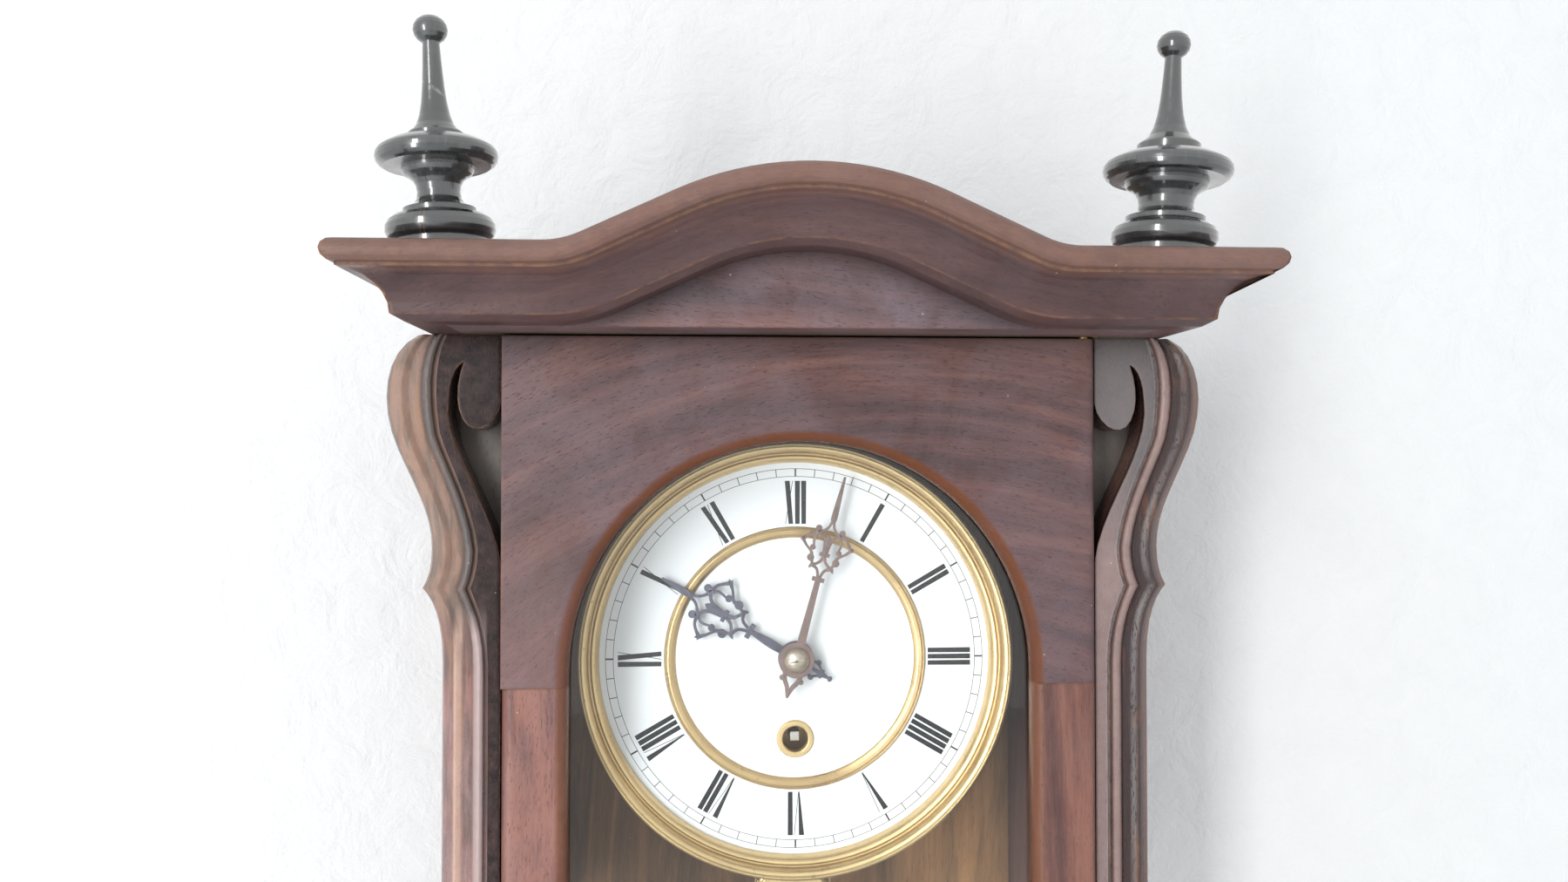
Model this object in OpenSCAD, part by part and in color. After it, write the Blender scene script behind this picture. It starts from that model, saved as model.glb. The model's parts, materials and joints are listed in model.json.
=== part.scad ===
// Regulator wall clock: a glazed case with an arched cornice, a weight-driven
// movement behind an enamel dial, and a pendulum that beats eighty to the minute.
// Millimetres. The origin is the centre of the hanging eye on the wall plane,
// +Z is up and the front of the clock faces -Y. A depth is a distance from the wall.

/* [Case] */
// Height of the hanging eye above the dial centre
eye_height = 150; // [146:1:154]
// Width across the outside of the two sides
case_w = 273; // [268:1:280]
// Height of the case top above the dial centre
case_rise = 132.5; // [130:0.5:136]
// Drop from the dial centre to the bottom board
case_drop = 612; // [606:1:660]
// Depth of the sides, wall to front edge
case_d = 128; // [126:1:134]
// Thickness of the back board
back_t = 10; // [8:0.5:12]
// Thickness of the sides
side_t = 22; // [18:1:24]
// Width of the front post of each side
post_w = 30.5; // [28:0.5:32]
// Depth of the front post of each side
post_d = 20; // [16:1:24]
// Thickness of the top and bottom boards
board_t = 12; // [10:0.5:14]
// Drop from the dial centre to the head of the side windows
window_top = 130; // [120:1:160]
// Height of the frame left below each side window
window_sill = 52; // [44:1:70]
// Thickness of every pane of glass
glass_t = 2.2; // [2:0.1:2.6]

/* [Cornice] */
// Width across the noses of the cornice
cornice_w = 333; // [326:1:340]
// Reach of the cornice nose in front of the door
cornice_reach = 60.2; // [56:0.2:64]
// Thickness of the cornice moulding, front to back
moulding_t = 35; // [33:1:38]
// Height of the rounded nose
nose_h = 8.2; // [7:0.1:9]
// Radius of the cove under the nose
cove_r = 14.5; // [13:0.5:16]
// Width of the chamfer under the cove
chamfer_w = 4.1; // [3:0.1:5]
// Height of the chamfer under the cove
chamfer_h = 2.3; // [1.5:0.1:3]
// Rise of the arch in the middle of the cornice
arch_rise = 28.3; // [25:0.1:30]
// Radius of the crown of the arch
arch_r = 115; // [105:1:125]
// Radius of the hollow at each foot of the arch
arch_foot_r = 32; // [29:1:36]
// Steepest slope of the arch, in degrees
arch_slope = 24.7; // [23:0.1:26]
// Thickness of the flat board under the arch
tympanum_t = 20; // [17:1:22]

/* [Pilasters] */
// Thickness of the pilaster boards
pilaster_t = 19; // [17:0.5:19.5]
// Reach of the straight shaft beyond the case side
shaft_reach = 4.3; // [3.8:0.1:4.8]
// Width of the moulding along the outer edge
edge_w = 17.5; // [16.5:0.5:18.5]
// Sink of the flat behind the ridge of the moulding
flat_sink = 3; // [2:0.1:3.5]
// Swell of the scroll head beyond the shaft
head_swell = 25.7; // [24:0.1:28]
// Reach of the pointed cusp beyond the shaft
cusp_reach = 8; // [7:0.1:9]
// Height of the blocks behind the scroll heads
head_block_h = 37; // [33:1:40]
// Width of the blocks behind the scroll heads
head_block_w = 14; // [12:0.5:16]
// Depth of the blocks behind the scroll heads
head_block_d = 26; // [22:1:30]

/* [Finials] */
// Height of a finial above the cornice
finial_h = 85.8; // [80:0.1:90]
// Radius of the widest disc of a finial
finial_disc_r = 21.7; // [20:0.1:23]
// Radius of the base of a finial
finial_base_r = 19.5; // [18:0.1:20.5]
// Outward lean of the finials, in degrees
finial_lean = 3.3; // [0:0.1:4]
// Distance between the two finials
finial_span = 265; // [258:1:270]
// Extra radius of the right finial's disc, cup and neck
finial_girth = 2; // [0:0.1:3]
// How much lower the right finial's disc sits
finial_sag = 1.5; // [0:0.1:2]

/* [Base] */
// Reach of the base moulding beyond the bottom board
base_reach = 16; // [14:0.5:18]
// Height of the apron below the bottom board
apron_h = 74; // [66:1:90]
// Thickness of the apron
apron_t = 14; // [12:0.5:16]
// Radius of the turned drops
drop_r = 15; // [13:0.5:16]
// Height of the corner drops
drop_h = 56; // [48:1:62]

/* [Door] */
// Width of the door
door_w = 232.4; // [231:0.1:233.6]
// Thickness of the door
door_t = 20; // [19.5:0.5:22]
// Inner radius of the arch, also half the width of the glass opening
opening_r = 91; // [90:0.5:93]
// Width of the quarter-round along the opening
ovolo_r = 5; // [4:0.5:6]
// Height of the bottom rail
rail_h = 45; // [38:1:56]
// Gap round the door
door_gap = 0.8; // [0.6:0.1:1]
// Radius of the pivot pins
pivot_r = 2; // [1.5:0.1:2.4]
// Distance of the pivot pins from the door's edge and face
pivot_inset = 4; // [3.5:0.1:4.5]
// Drop from the dial centre to the latch
latch_drop = 235; // [200:5:300]

/* [Dial] */
// Depth of the enamel face from the wall
dial_d = 104; // [103:0.5:105]
// Outer radius of the brass bezel
bezel_r = 91.8; // [90.5:0.1:93]
// Radius of the enamel left open by the bezel
sight_r = 82.8; // [81:0.1:84]
// Outer radius of the milled ring between the two enamels
ring_outer_r = 55.6; // [54:0.1:57]
// Inner radius of the milled ring
ring_inner_r = 50.8; // [49:0.1:52]
// Thickness of the enamel
enamel_t = 2.2; // [2:0.1:2.4]
// Drop from the dial centre to the winding arbor
winding_drop = 34.5; // [34:0.1:36]

/* [Hands] */
// Length of the minute hand
minute_len = 79.4; // [76:0.2:81]
// Length of the hour hand
hour_len = 66; // [62:0.5:68]
// Thickness of the hands
hand_t = 0.9; // [0.7:0.1:1.1]
// Radius of the centre disc of each hand
hand_disc_r = 7.5; // [7:0.1:8]
// Hour that the hands show
shown_hour = 10; // [1:1:12]
// Minute that the hands show
shown_minute = 2.5; // [0:0.5:59]

/* [Movement] */
// Width of the movement plates
plate_w = 84; // [80:1:92]
// Top of the movement plates above the dial centre
plate_top = 64; // [62:1:70]
// Thickness of the movement plates
plate_t = 2.5; // [2:0.1:3]
// Distance of the movement's back behind the dial face
back_plate_d = 54; // [53:0.5:55]
// Space between the plates
plate_gap = 30; // [29.5:0.5:31]
// Teeth of the great wheel
great_teeth = 144; // [144:1:146]
// Teeth of the centre wheel
centre_teeth = 80; // [78:1:80]
// Teeth of the third wheel
third_teeth = 64; // [62:1:64]
// Leaves of the pinions
pinion_leaves = 8; // [8:1:9]
// Module of the centre wheel and the pinion that it drives
centre_module = 0.5; // [0.48:0.01:0.5]
// Module of the third wheel and the pinion that it drives
third_module = 0.45; // [0.44:0.01:0.46]
// Radius of the escape wheel
escape_r = 13; // [12.5:0.1:13.4]
// Distance from the winding arbor to the bottom of the plates
plate_foot = 39.5; // [38:0.5:42]
// Width of the beat scale
scale_w = 92; // [86:2:96]

/* [Pendulum] */
// Length from the suspension to the middle of the bob
pendulum_len = 548; // [540:1:570]
// Depth of the pendulum rod from the wall
pendulum_d = 28; // [27:0.5:29]
// Radius of the bob
bob_r = 60; // [52:1:64]
// Thickness of the bob
bob_t = 24; // [20:1:26]
// Width of the wooden rod
rod_w = 12; // [10:0.5:14]
// Thickness of the wooden rod
rod_t = 5; // [4:0.5:6]
// Length of the rating screw below the bob
screw_len = 26; // [24:1:30]

/* [Weight] */
// Radius of the weight
weight_r = 22; // [20:0.5:24]
// Length of the weight
weight_len = 120; // [100:1:124]
// Fall of the weight between winding and run down
weight_fall = 330; // [300:5:335]
// Radius of the pulley at the line
pulley_r = 17; // [15:0.5:18]
// Thickness of the gut line
gut_d = 1.1; // [0.9:0.1:1.2]
// Radius of the drum under the line
drum_r = 9.3; // [9:0.1:9.6]
// Turns of line on the drum when wound
gut_turns = 10.5; // [8.5:1:10.5]

/* [Fits] */
// Running clearance round arbors and pins
running = 0.06; // [0.04:0.01:0.1]
// Gap between parts that pass each other
passing = 0.5; // [0.4:0.1:0.6]
// Radius of the hanging eye
eye_r = 4.5; // [4:0.1:5]
// Thickness of the hanging plate
hanger_t = 2; // [1.6:0.1:2.4]

/* [Hidden] */

// Round parts are drawn with this many sides
round_n = 64;
// A small overlap for cutters
cut = 1;

// Heights in the frame of the hanging eye
dial_z = -eye_height;
top_z = dial_z + case_rise;
floor_z = dial_z - case_drop;

// Case
half_w = case_w / 2;
inner_half = half_w - side_t;
post_half = half_w - post_w;
window_z0 = floor_z + window_sill;
window_z1 = dial_z - window_top;
window_d0 = back_t + side_t;
window_d1 = case_d - post_d;
glass_lap = 3;

// Door
door_d0 = case_d + door_gap;
door_d1 = door_d0 + door_t;
door_half = door_w / 2;
door_top = top_z - door_gap;
door_bottom = floor_z + door_gap;
lip_d = door_d1 - ovolo_r - 3.3;
rebate = 5.5;
head_z = dial_z - 4;
pivot_x = door_half - pivot_inset;
pivot_d = door_d1 - pivot_inset;
latch_x = opening_r + rebate + 3.6;
latch_z = dial_z - latch_drop;
spindle_r = 2.5;
tongue_t = 2;
tongue_d = case_d - 18;
tongue_len = post_half + 8 - latch_x;

// Cornice
nose_half = cornice_w / 2;
nose_d = door_d1 + cornice_reach;
nose_r = nose_h / 2;
cornice_h = nose_h + 1 + cove_r + chamfer_h;
cornice_top = top_z + cornice_h;
moulding_back = nose_d - moulding_t;
tympanum_d0 = moulding_back - tympanum_t;
finial_d = moulding_back + 4;
return_inner = nose_half - moulding_t;
arch_drop = (arch_r + arch_foot_r) * (1 - cos(arch_slope));
arch_straight = (arch_rise - arch_drop) / sin(arch_slope);
arch_half = (arch_r + arch_foot_r) * sin(arch_slope) + arch_straight * cos(arch_slope);

// Pilasters
pilaster_inner = door_half + door_gap;
pilaster_d1 = case_d + pilaster_t;
shaft_half = half_w + shaft_reach;
cusp_z = 99;
waist_z = 83.5;

// Dial
dial_plate_t = 1.6;
bezel_skirt_t = 1.4;
enamel_d0 = dial_d - enamel_t;
dial_plate_d0 = enamel_d0 - dial_plate_t;
centre_enamel_t = enamel_t - 0.8;
hour_hand_d = dial_d + 2.6;
minute_hand_d = hour_hand_d + 4.4;
minute_angle = shown_minute * 6;
hour_angle = shown_hour * 30 + shown_minute / 2;
pipe_r = 3;
hour_pipe_r = 4;

// Movement
winding_z = dial_z - winding_drop;
plate_foot_z = winding_z - plate_foot;
movement_d0 = dial_d - back_plate_d;
inner_d0 = movement_d0 + plate_t;
inner_d1 = inner_d0 + plate_gap;
front_plate_d1 = inner_d1 + plate_t;
great_module = 2 * winding_drop / (great_teeth + pinion_leaves);
third_dist = centre_module * (centre_teeth + pinion_leaves) / 2;
escape_dist = third_module * (third_teeth + pinion_leaves) / 2;
third_x = 12;
third_z = dial_z + sqrt(pow(third_dist, 2) - pow(third_x, 2));
escape_z = third_z + sqrt(pow(escape_dist, 2) - pow(third_x, 2));
pallet_z = escape_z + escape_r * sqrt(2);
arbor_r = 1.2;
drum_arbor_r = 2.9;
square_w = 3.9;
great_d0 = inner_d0 + 1.5;
great_t = 2.5;
click_d0 = great_d0 + great_t + 0.6;
ratchet_t = 2;
drum_d0 = click_d0 + ratchet_t + 0.6;
flange_t = 1.2;
drum_len = inner_d1 - drum_d0 - 1;
centre_d0 = inner_d0 + 8.5;
third_d0 = inner_d0 + 15;
escape_d0 = inner_d1 - 5.5;
wheel_t = 1.5;
line_r = drum_r + gut_d / 2;
// Straight steps in each turn of the line, and the barrel that just clears them
turn_steps = 24;
barrel_r = drum_r * cos(180 / turn_steps) - 0.01;
line_d = drum_d0 + drum_len - flange_t - gut_d;
gut_pitch = (drum_len - 2 * flange_t - 2 * gut_d) / gut_turns;
motion_dist = 12;
cannon_teeth = 12;
minute_teeth = 36;
minute_leaves = 10;
hour_teeth = 40;
motion_module = 2 * motion_dist / (cannon_teeth + minute_teeth);
hour_module = 2 * motion_dist / (minute_leaves + hour_teeth);
cannon_d0 = front_plate_d1 + 1;
hour_wheel_d0 = cannon_d0 + 3.6;

// Pendulum
crutch_d0 = pendulum_d + 8;
crutch_t = 1.5;
crutch_len = 104;
bob_z = pallet_z - pendulum_len;
rod_top = pallet_z - 14;
rod_foot = bob_z - bob_r + 3;
nut_t = 7;
nut_r = 9;
screw_r = 1.5;
nut_top = bob_z - bob_r - 0.3;
screw_foot = nut_top + 0.3 - screw_len;

// Weight, wound to the top
pulley_z = plate_foot_z - 41;
pulley_rim = 2;
pulley_t = 7;
groove_r = 3;
weight_top = pulley_z - pulley_r - 18;

function arc(cx, cy, r, a0, a1, n) =
    [for (i = [0:n]) let (a = a0 + (a1 - a0) * i / n) [cx + r * cos(a), cy + r * sin(a)]];

// Points along a cubic curve with four control points
function curve(p, n, first = 0) =
    [for (i = [first:n]) let (t = i / n, s = 1 - t)
        s * s * s * p[0] + 3 * t * s * s * p[1] + 3 * t * t * s * p[2] + t * t * t * p[3]];

// Directions across a run of points, pointing to its right
function normals(p) =
    [for (i = [0:len(p) - 1])
        let (d = p[min(i + 1, len(p) - 1)] - p[max(i - 1, 0)]) [d[1], -d[0]] / norm(d)];

// Extrudes a shape drawn in X and Z from depth d0 to depth d1
module slab(d0, d1) {
    translate([0, -d0, 0])
        rotate([90, 0, 0])
            linear_extrude(d1 - d0) children();
}

// Spins a profile drawn as radius and depth about an axis through x, z
module spun(x, z, n = round_n) {
    translate([x, 0, z])
        rotate([90, 0, 0])
            rotate_extrude($fn = n) children();
}

module rod(x, z, r, d0, d1, n = 32) {
    translate([x, -d0, z])
        rotate([90, 0, 0])
            cylinder(h = d1 - d0, r = r, $fn = n);
}

// A box between two corners given as x, depth, z
module block(x0, x1, d0, d1, z0, z1) {
    translate([x0, -d1, z0])
        cube([x1 - x0, d1 - d0, z1 - z0]);
}

module both_sides() {
    children();
    mirror([1, 0, 0]) children();
}

// Joins rings of points into one closed body
module sweep(rings) {
    n = len(rings[0]);
    last = len(rings) - 1;
    polyhedron(
        points = [for (ring = rings) each ring],
        faces = concat(
            [[for (i = [0:n - 1]) i]],
            [[for (i = [n - 1:-1:0]) last * n + i]],
            [for (k = [0:last - 1], i = [0:n - 1])
                let (j = (i + 1) % n)
                    each [[k * n + i, (k + 1) * n + i, (k + 1) * n + j],
                        [k * n + i, (k + 1) * n + j, k * n + j]]]));
}

// A toothed wheel, with a tooth centred on the angle phase
module gear(teeth, gear_module, addendum, dedendum, share, phase) {
    pitch_r = teeth * gear_module / 2;
    tip_r = pitch_r + addendum * gear_module;
    root_r = pitch_r - dedendum * gear_module;
    step = 360 / teeth;
    half = step * share / 2;
    polygon([for (i = [0:teeth - 1]) let (a = phase + i * step) each [
        root_r * [cos(a - half), sin(a - half)],
        tip_r * [cos(a - half * 0.45), sin(a - half * 0.45)],
        tip_r * [cos(a + half * 0.45), sin(a + half * 0.45)],
        root_r * [cos(a + half), sin(a + half)]]]);
}

module wheel_teeth(teeth, gear_module, phase) {
    gear(teeth, gear_module, 0.75, 1.2, 0.4, phase);
}

module pinion_teeth(teeth, gear_module, phase) {
    gear(teeth, gear_module, 0.5, 1.35, 0.36, phase + 180 / teeth);
}

// A wheel crossed out to arms, standing on its arbor
module crossed_wheel(x, z, teeth, gear_module, phase, d0, t, hub_r, arms = 5) {
    rim_r = teeth * gear_module / 2 - 3.2 * gear_module;
    translate([x, 0, z]) {
        slab(d0, d0 + t) difference() {
            wheel_teeth(teeth, gear_module, phase);
            circle(r = rim_r - 0.6, $fn = round_n);
        }
        slab(d0, d0 + t) {
            circle(r = hub_r, $fn = 32);
            for (i = [0:arms - 1])
                rotate(i * 360 / arms + 18)
                    translate([hub_r / 2, -0.9])
                        square([rim_r - hub_r / 2, 1.8]);
        }
    }
}

// Case boards
module backboard() {
    color("#5a4232") difference() {
        slab(0, back_t)
            polygon([[-half_w, floor_z], [half_w, floor_z], [half_w, top_z],
                [return_inner, top_z], [return_inner, top_z + board_t],
                [-return_inner, top_z + board_t], [-return_inner, top_z], [-half_w, top_z]]);
        hanger_outline_cut();
        for (p = hanger_screw_places)
            rod(0, p, screw_hole_r, -cut, back_t + cut);
        for (p = bracket_screw_places)
            rod(p[0], p[1], screw_hole_r, back_t - 6, back_t + cut);
        for (x = [-scale_screw_x, scale_screw_x])
            rod(x, scale_z, screw_hole_r, back_t - 5, back_t + cut);
    }
}

module side_frame() {
    difference() {
        union() {
            block(inner_half, half_w, back_t, case_d, floor_z, top_z);
            block(post_half, inner_half + cut, window_d1, case_d, floor_z, top_z);
        }
        block(inner_half - cut, half_w + cut, window_d0, window_d1, window_z0, window_z1);
        glass_groove(running);
    }
}

module glass_groove(gap) {
    mid = half_w - side_t / 2;
    block(mid - glass_t / 2 - gap, mid + glass_t / 2 + gap,
        window_d0 - glass_lap - gap, window_d1 + glass_lap + gap,
        window_z0 - glass_lap - gap, window_z1 + glass_lap + gap);
}

module side_frames() {
    color("#4b2a24") {
        side_frame();
        difference() {
            mirror([1, 0, 0]) side_frame();
            block(-post_half - 9, -post_half + cut, tongue_d - passing, tongue_d + tongue_t + passing,
                latch_z - 5, latch_z + tongue_len);
        }
    }
}

module side_glasses() {
    color("#dfe8e8", 0.4) both_sides() glass_groove(0);
}

module case_top() {
    color("#40251f") difference() {
        block(-return_inner, return_inner, back_t, tympanum_d0, top_z, top_z + board_t);
        hinge_seat();
    }
}

// Room for the upper hinge socket and its pin, cut from whatever stands over the door
module hinge_seat() {
    rod_up(pivot_x, pivot_d, socket_r, top_z - cut, top_z + socket_t);
    rod_up(pivot_x, pivot_d, pivot_r + 1, top_z, top_z + 9);
}

// A cylinder standing at x and a depth, from z0 up to z1
module rod_up(x, d, r, z0, z1, n = 32) {
    translate([x, -d, z0])
        cylinder(h = z1 - z0, r = r, $fn = n);
}

module bottom_board() {
    color("#40251f") difference() {
        block(-half_w, half_w, 0, base_d, floor_z - board_t, floor_z);
        rod_up(pivot_x, pivot_d, socket_r, floor_z - socket_t, floor_z + cut);
        rod_up(pivot_x, pivot_d, pivot_r + 1, floor_z - 9, floor_z);
        for (x = [-drop_x, drop_x])
            rod_up(x, drop_d, drop_peg_r, floor_z - board_t - cut, floor_z - 3);
    }
}

base_d = case_d + door_gap + door_t + 5.2;
socket_r = 6;
socket_t = 1.6;
drop_x = half_w - drop_r - 1;
drop_d = base_d - drop_r - 3;
drop_peg_r = 5;
screw_hole_r = 1.6;

// Cornice profile as distance behind the nose and height from its top
function cornice_profile() = concat(
    [[moulding_t, 0]],
    arc(nose_r, -nose_r, nose_r, 90, 270, 6),
    [for (p = arc(nose_r, -nose_h - 1 - cove_r, cove_r, 90, 0, 6)) p],
    [[nose_r + cove_r + chamfer_w, -cornice_h], [moulding_t, -cornice_h]]);

// Left half of the arch as points on the top of the nose, foot first
function arch_half_path() = concat(
    [for (i = [0:6]) let (a = arch_slope * i / 6)
        [-arch_half + arch_foot_r * sin(a), arch_foot_r * (1 - cos(a))]],
    [for (i = [0:9]) let (a = arch_slope * (1 - i / 9))
        [-arch_r * sin(a), arch_rise - arch_r * (1 - cos(a))]]);

function arch_path() = let (h = arch_half_path())
    concat(h, [for (i = [len(h) - 2:-1:0]) [-h[i][0], h[i][1]]]);

function arch_normal(p) =
    let (crown = arch_r * sin(arch_slope), x = abs(p[0]),
        a = x < crown ? asin(x / arch_r)
            : (x > arch_half - arch_foot_r * sin(arch_slope)
                ? asin((arch_half - x) / arch_foot_r) : arch_slope))
        [sign(p[0]) * sin(a), cos(a)];

module cornice_front() {
    profile = cornice_profile();
    end_ring = function(side) [for (q = profile)
        [side * (nose_half - q[0]), -(nose_d - q[0]), cornice_top + q[1]]];
    rings = concat(
        [end_ring(-1)],
        [for (p = arch_path()) let (n = arch_normal(p))
            [for (q = profile)
                [p[0] + n[0] * q[1], -(nose_d - q[0]), cornice_top + p[1] + n[1] * q[1]]]],
        [end_ring(1)]);
    color("#5a2f28") sweep(rings);
}

module cornice_return() {
    difference() {
        translate([nose_half, 0, cornice_top])
            rotate([90, 0, 0])
                linear_extrude(nose_d)
                    polygon([for (q = cornice_profile()) [-q[0], q[1]]]);
        translate([nose_half, -nose_d, 0])
            rotate([0, 0, -45])
                translate([-nose_half, -nose_half, floor_z])
                    cube([cornice_w, nose_half, -2 * floor_z]);
        hinge_seat();
    }
}

module cornice_returns() {
    color("#5a2f28") both_sides() cornice_return();
}

module tympanum() {
    path = [for (p = arch_path()) [p[0], cornice_top + p[1]]];
    color("#5c332b") difference() {
        slab(tympanum_d0, moulding_back)
            polygon(concat([[-return_inner, top_z], [-return_inner, cornice_top]], path,
                [[return_inner, cornice_top], [return_inner, top_z]]));
        hinge_seat();
    }
}

module head_blocks() {
    color("#4a3c30") both_sides()
        block(half_w, half_w + head_block_w, case_d - head_block_d, case_d, top_z - head_block_h, top_z);
}

// Outer edge of the pilaster, head first, and the inner edge of its moulding beside it.
// Both are x and drop below the case top.
outer_head = [[shaft_half + 10.2, 0], [shaft_half + 23.2, -5.5],
    [shaft_half + head_swell, -26.5], [shaft_half + 17.7, -44.5]];
outer_waist = [[shaft_half + 17.7, -44.5], [shaft_half + 10.7, -60.5],
    [shaft_half + 4.2, -70.5], [shaft_half + 4.4, -waist_z]];
outer_cusp = [[shaft_half + 4.4, -waist_z], [shaft_half + 4.5, -waist_z - 7],
    [shaft_half + cusp_reach - 2.5, -cusp_z + 4], [shaft_half + cusp_reach, -cusp_z]];
outer_shoulder = [[shaft_half + cusp_reach, -cusp_z], [shaft_half + 4.2, -cusp_z - 4],
    [shaft_half, -cusp_z - 11.5], [shaft_half, -cusp_z - 29.5]];
edge_in = shaft_half - edge_w;
inner_head = [[edge_in + 15.7, 0], [edge_in + 19.2, -5], [edge_in + head_swell - 3, -17],
    [edge_in + 18.7, -38.9]];
inner_waist = [[edge_in + 18.7, -38.9], [edge_in + 15.5, -49.5], [edge_in + 5.7, -66.5],
    [edge_in + 4.1, -waist_z]];
inner_cusp = [[edge_in + 4.1, -waist_z], [edge_in + 4, -waist_z - 5],
    [edge_in + 5.3, -cusp_z + 4.5], [edge_in + cusp_reach - 1, -cusp_z + 0.5]];
inner_shoulder = [[edge_in + cusp_reach - 1, -cusp_z + 0.5], [edge_in + 5.1, -cusp_z - 4],
    [edge_in, -cusp_z - 14], [edge_in, -cusp_z - 29.5]];

// A run from the case top down past the cusp to the straight shaft
function scroll_run(head, waist, cusp, shoulder) = concat(curve(head, 8), curve(waist, 7, 1),
    curve(cusp, 4, 1), curve(shoulder, 6, 1));

// The foot repeats the cusp upside down just above the base
foot_shift = -(case_rise + case_drop) - waist_z;
function foot_run(cusp, shoulder) = let (p = concat(curve(cusp, 4), curve(shoulder, 6, 1)))
    [for (i = [len(p) - 1:-1:0]) [p[i][0], foot_shift - p[i][1]]];

function outer_run() = concat(scroll_run(outer_head, outer_waist, outer_cusp, outer_shoulder),
    foot_run(outer_cusp, outer_shoulder));
function inner_run() = concat(scroll_run(inner_head, inner_waist, inner_cusp, inner_shoulder),
    foot_run(inner_cusp, inner_shoulder));

// Moulding section from the edge inward, as shares of its width and of the board:
// a slope, a bead, a hollow, the ridge and a step down to the flat
edge_section = [[0, 0], [0, 0.42], [0.07, 0.57], [0.2, 0.69], [0.3, 0.78], [0.38, 0.81],
    [0.45, 0.78], [0.52, 0.75], [0.62, 0.75], [0.72, 0.8], [0.8, 0.91], [0.87, 0.985],
    [0.94, 1], [1, 0.965]];

module edge_moulding() {
    outer = outer_run();
    inner = inner_run();
    flat = 1 - flat_sink / pilaster_t - 0.005;
    section = concat(edge_section, [[1.03, flat + 0.03], [1.1, flat], [1.1, 0]]);
    sweep([for (k = [0:len(outer) - 1])
        [for (q = section) let (p = outer[k] + (inner[k] - outer[k]) * q[0])
            [p[0], -(case_d + q[1] * pilaster_t), top_z + p[1]]]]);
}

// Inner side of the scroll, from the door up round the piercing to its point
band_curve = [[pilaster_inner, -89], [pilaster_inner + 3, -66], [half_w + 4, -45],
    [half_w + 0.8, -24]];
point_curve = [[half_w + 0.8, -24], [half_w + 0.4, -17], [half_w - 1.6, -12],
    [half_w - 5, -10.5]];
bulb_curve = [[half_w - 5, -10.5], [half_w - 1.4, -20], [half_w - 1.8, -31],
    [half_w - 6.5, -35.5]];
bulb_foot = [[half_w - 6.5, -35.5], [half_w - 11, -39], [pilaster_inner + 1.5, -34.5],
    [pilaster_inner, -26]];

module pilaster_flat() {
    polygon([for (p = concat([[pilaster_inner, 0]], inner_run(),
        [[pilaster_inner, -(case_rise + case_drop)]],
        curve(band_curve, 10),
        curve(point_curve, 5, 1),
        curve(bulb_curve, 6, 1),
        curve(bulb_foot, 6, 1))) [p[0], top_z + p[1]]]);
}

module pilaster() {
    slab(case_d, pilaster_d1 - flat_sink) pilaster_flat();
    edge_moulding();
}

module left_pilaster() {
    color("#4c2c26") mirror([1, 0, 0]) pilaster();
}

module right_pilaster() {
    color("#4c2c26") pilaster();
}

// Half outline of a finial as radius and height above the cornice
function finial_outline(girth, sag) = let (
    base_h = 13, collar_z = 16, neck_z = 21.5 - sag, cup_z = 27.8 - sag, disc_z = 34.4 - sag,
    stem_z = 43.2, ball_r = 6.2, ball_h = 5.3, ball_z = finial_h - ball_h,
    disc_r = finial_disc_r + girth, neck_r = 7.6 + girth * 1.2, ring_r = 10 + girth * 0.8)
    concat(
        [[0, -3], [finial_base_r - 2, -3]],
        arc(finial_base_r - 5, 8, 5, -60, 90, 6),
        [[finial_base_r - 6.2, base_h], [12.9 + girth * 0.8, base_h + 0.6],
            [12.9 + girth * 0.8, collar_z - 0.6]],
        curve([[10.8 + girth, collar_z + 0.2], [neck_r + 1, collar_z + 1.2],
            [neck_r, neck_z - 3], [neck_r, neck_z]], 3),
        curve([[neck_r, neck_z], [neck_r, neck_z + 3.6], [neck_r + 2, cup_z - 1],
            [12 + girth * 1.25, cup_z]], 4, 1),
        [[12.8 + girth * 1.25, cup_z + 1.6], [12.8 + girth * 1.25, cup_z + 2.8],
            [disc_r - 5.4, cup_z + 3]],
        arc(disc_r - 3.7, disc_z, 3.7, -75, 62, 6),
        curve([[disc_r - 1.8, disc_z + 3.2], [disc_r - 4.8, disc_z + 5.4],
            [ring_r + 3, disc_z + 6.2], [ring_r, disc_z + 6.8]], 3, 1),
        [[ring_r, stem_z - 0.7], [ring_r - 0.6, stem_z], [ring_r - 1.6, stem_z + 0.3]],
        curve([[ring_r - 1.6, stem_z + 0.3], [4.6, stem_z + 4], [3.9, stem_z + 14],
            [3, ball_z - ball_h + 0.7]], 6, 1),
        [for (p = arc(0, 0, 1, -58, 90, 8)) [ball_r * p[0], ball_z + ball_h * p[1]]]);

module finial(girth, sag) {
    difference() {
        translate([finial_span / 2, -finial_d, cornice_top])
            rotate([0, finial_lean, 0])
                rotate_extrude($fn = 48)
                    polygon(finial_outline(girth, sag));
        block(0, cornice_w, 0, nose_d + finial_disc_r, cornice_top - 20, cornice_top);
    }
}

module finials() {
    color("#23211f") {
        finial(finial_girth, finial_sag);
        mirror([1, 0, 0]) finial(0, 0);
    }
}

// Base
base_nose_h = 7;
base_cove_r = 12;
function base_profile() = concat([[0, 0], [base_reach - base_nose_h / 2, 0]],
    arc(base_reach - base_nose_h / 2, -base_nose_h / 2, base_nose_h / 2, 90, -90, 6),
    arc(base_reach - base_nose_h / 2 + 1, -base_nose_h - 1 - base_cove_r, base_cove_r, 90, 180, 6),
    [[0, -base_nose_h - 1 - base_cove_r]]);

module base_run(length) {
    rotate([90, 0, 0])
        linear_extrude(length) polygon(base_profile());
}

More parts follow.
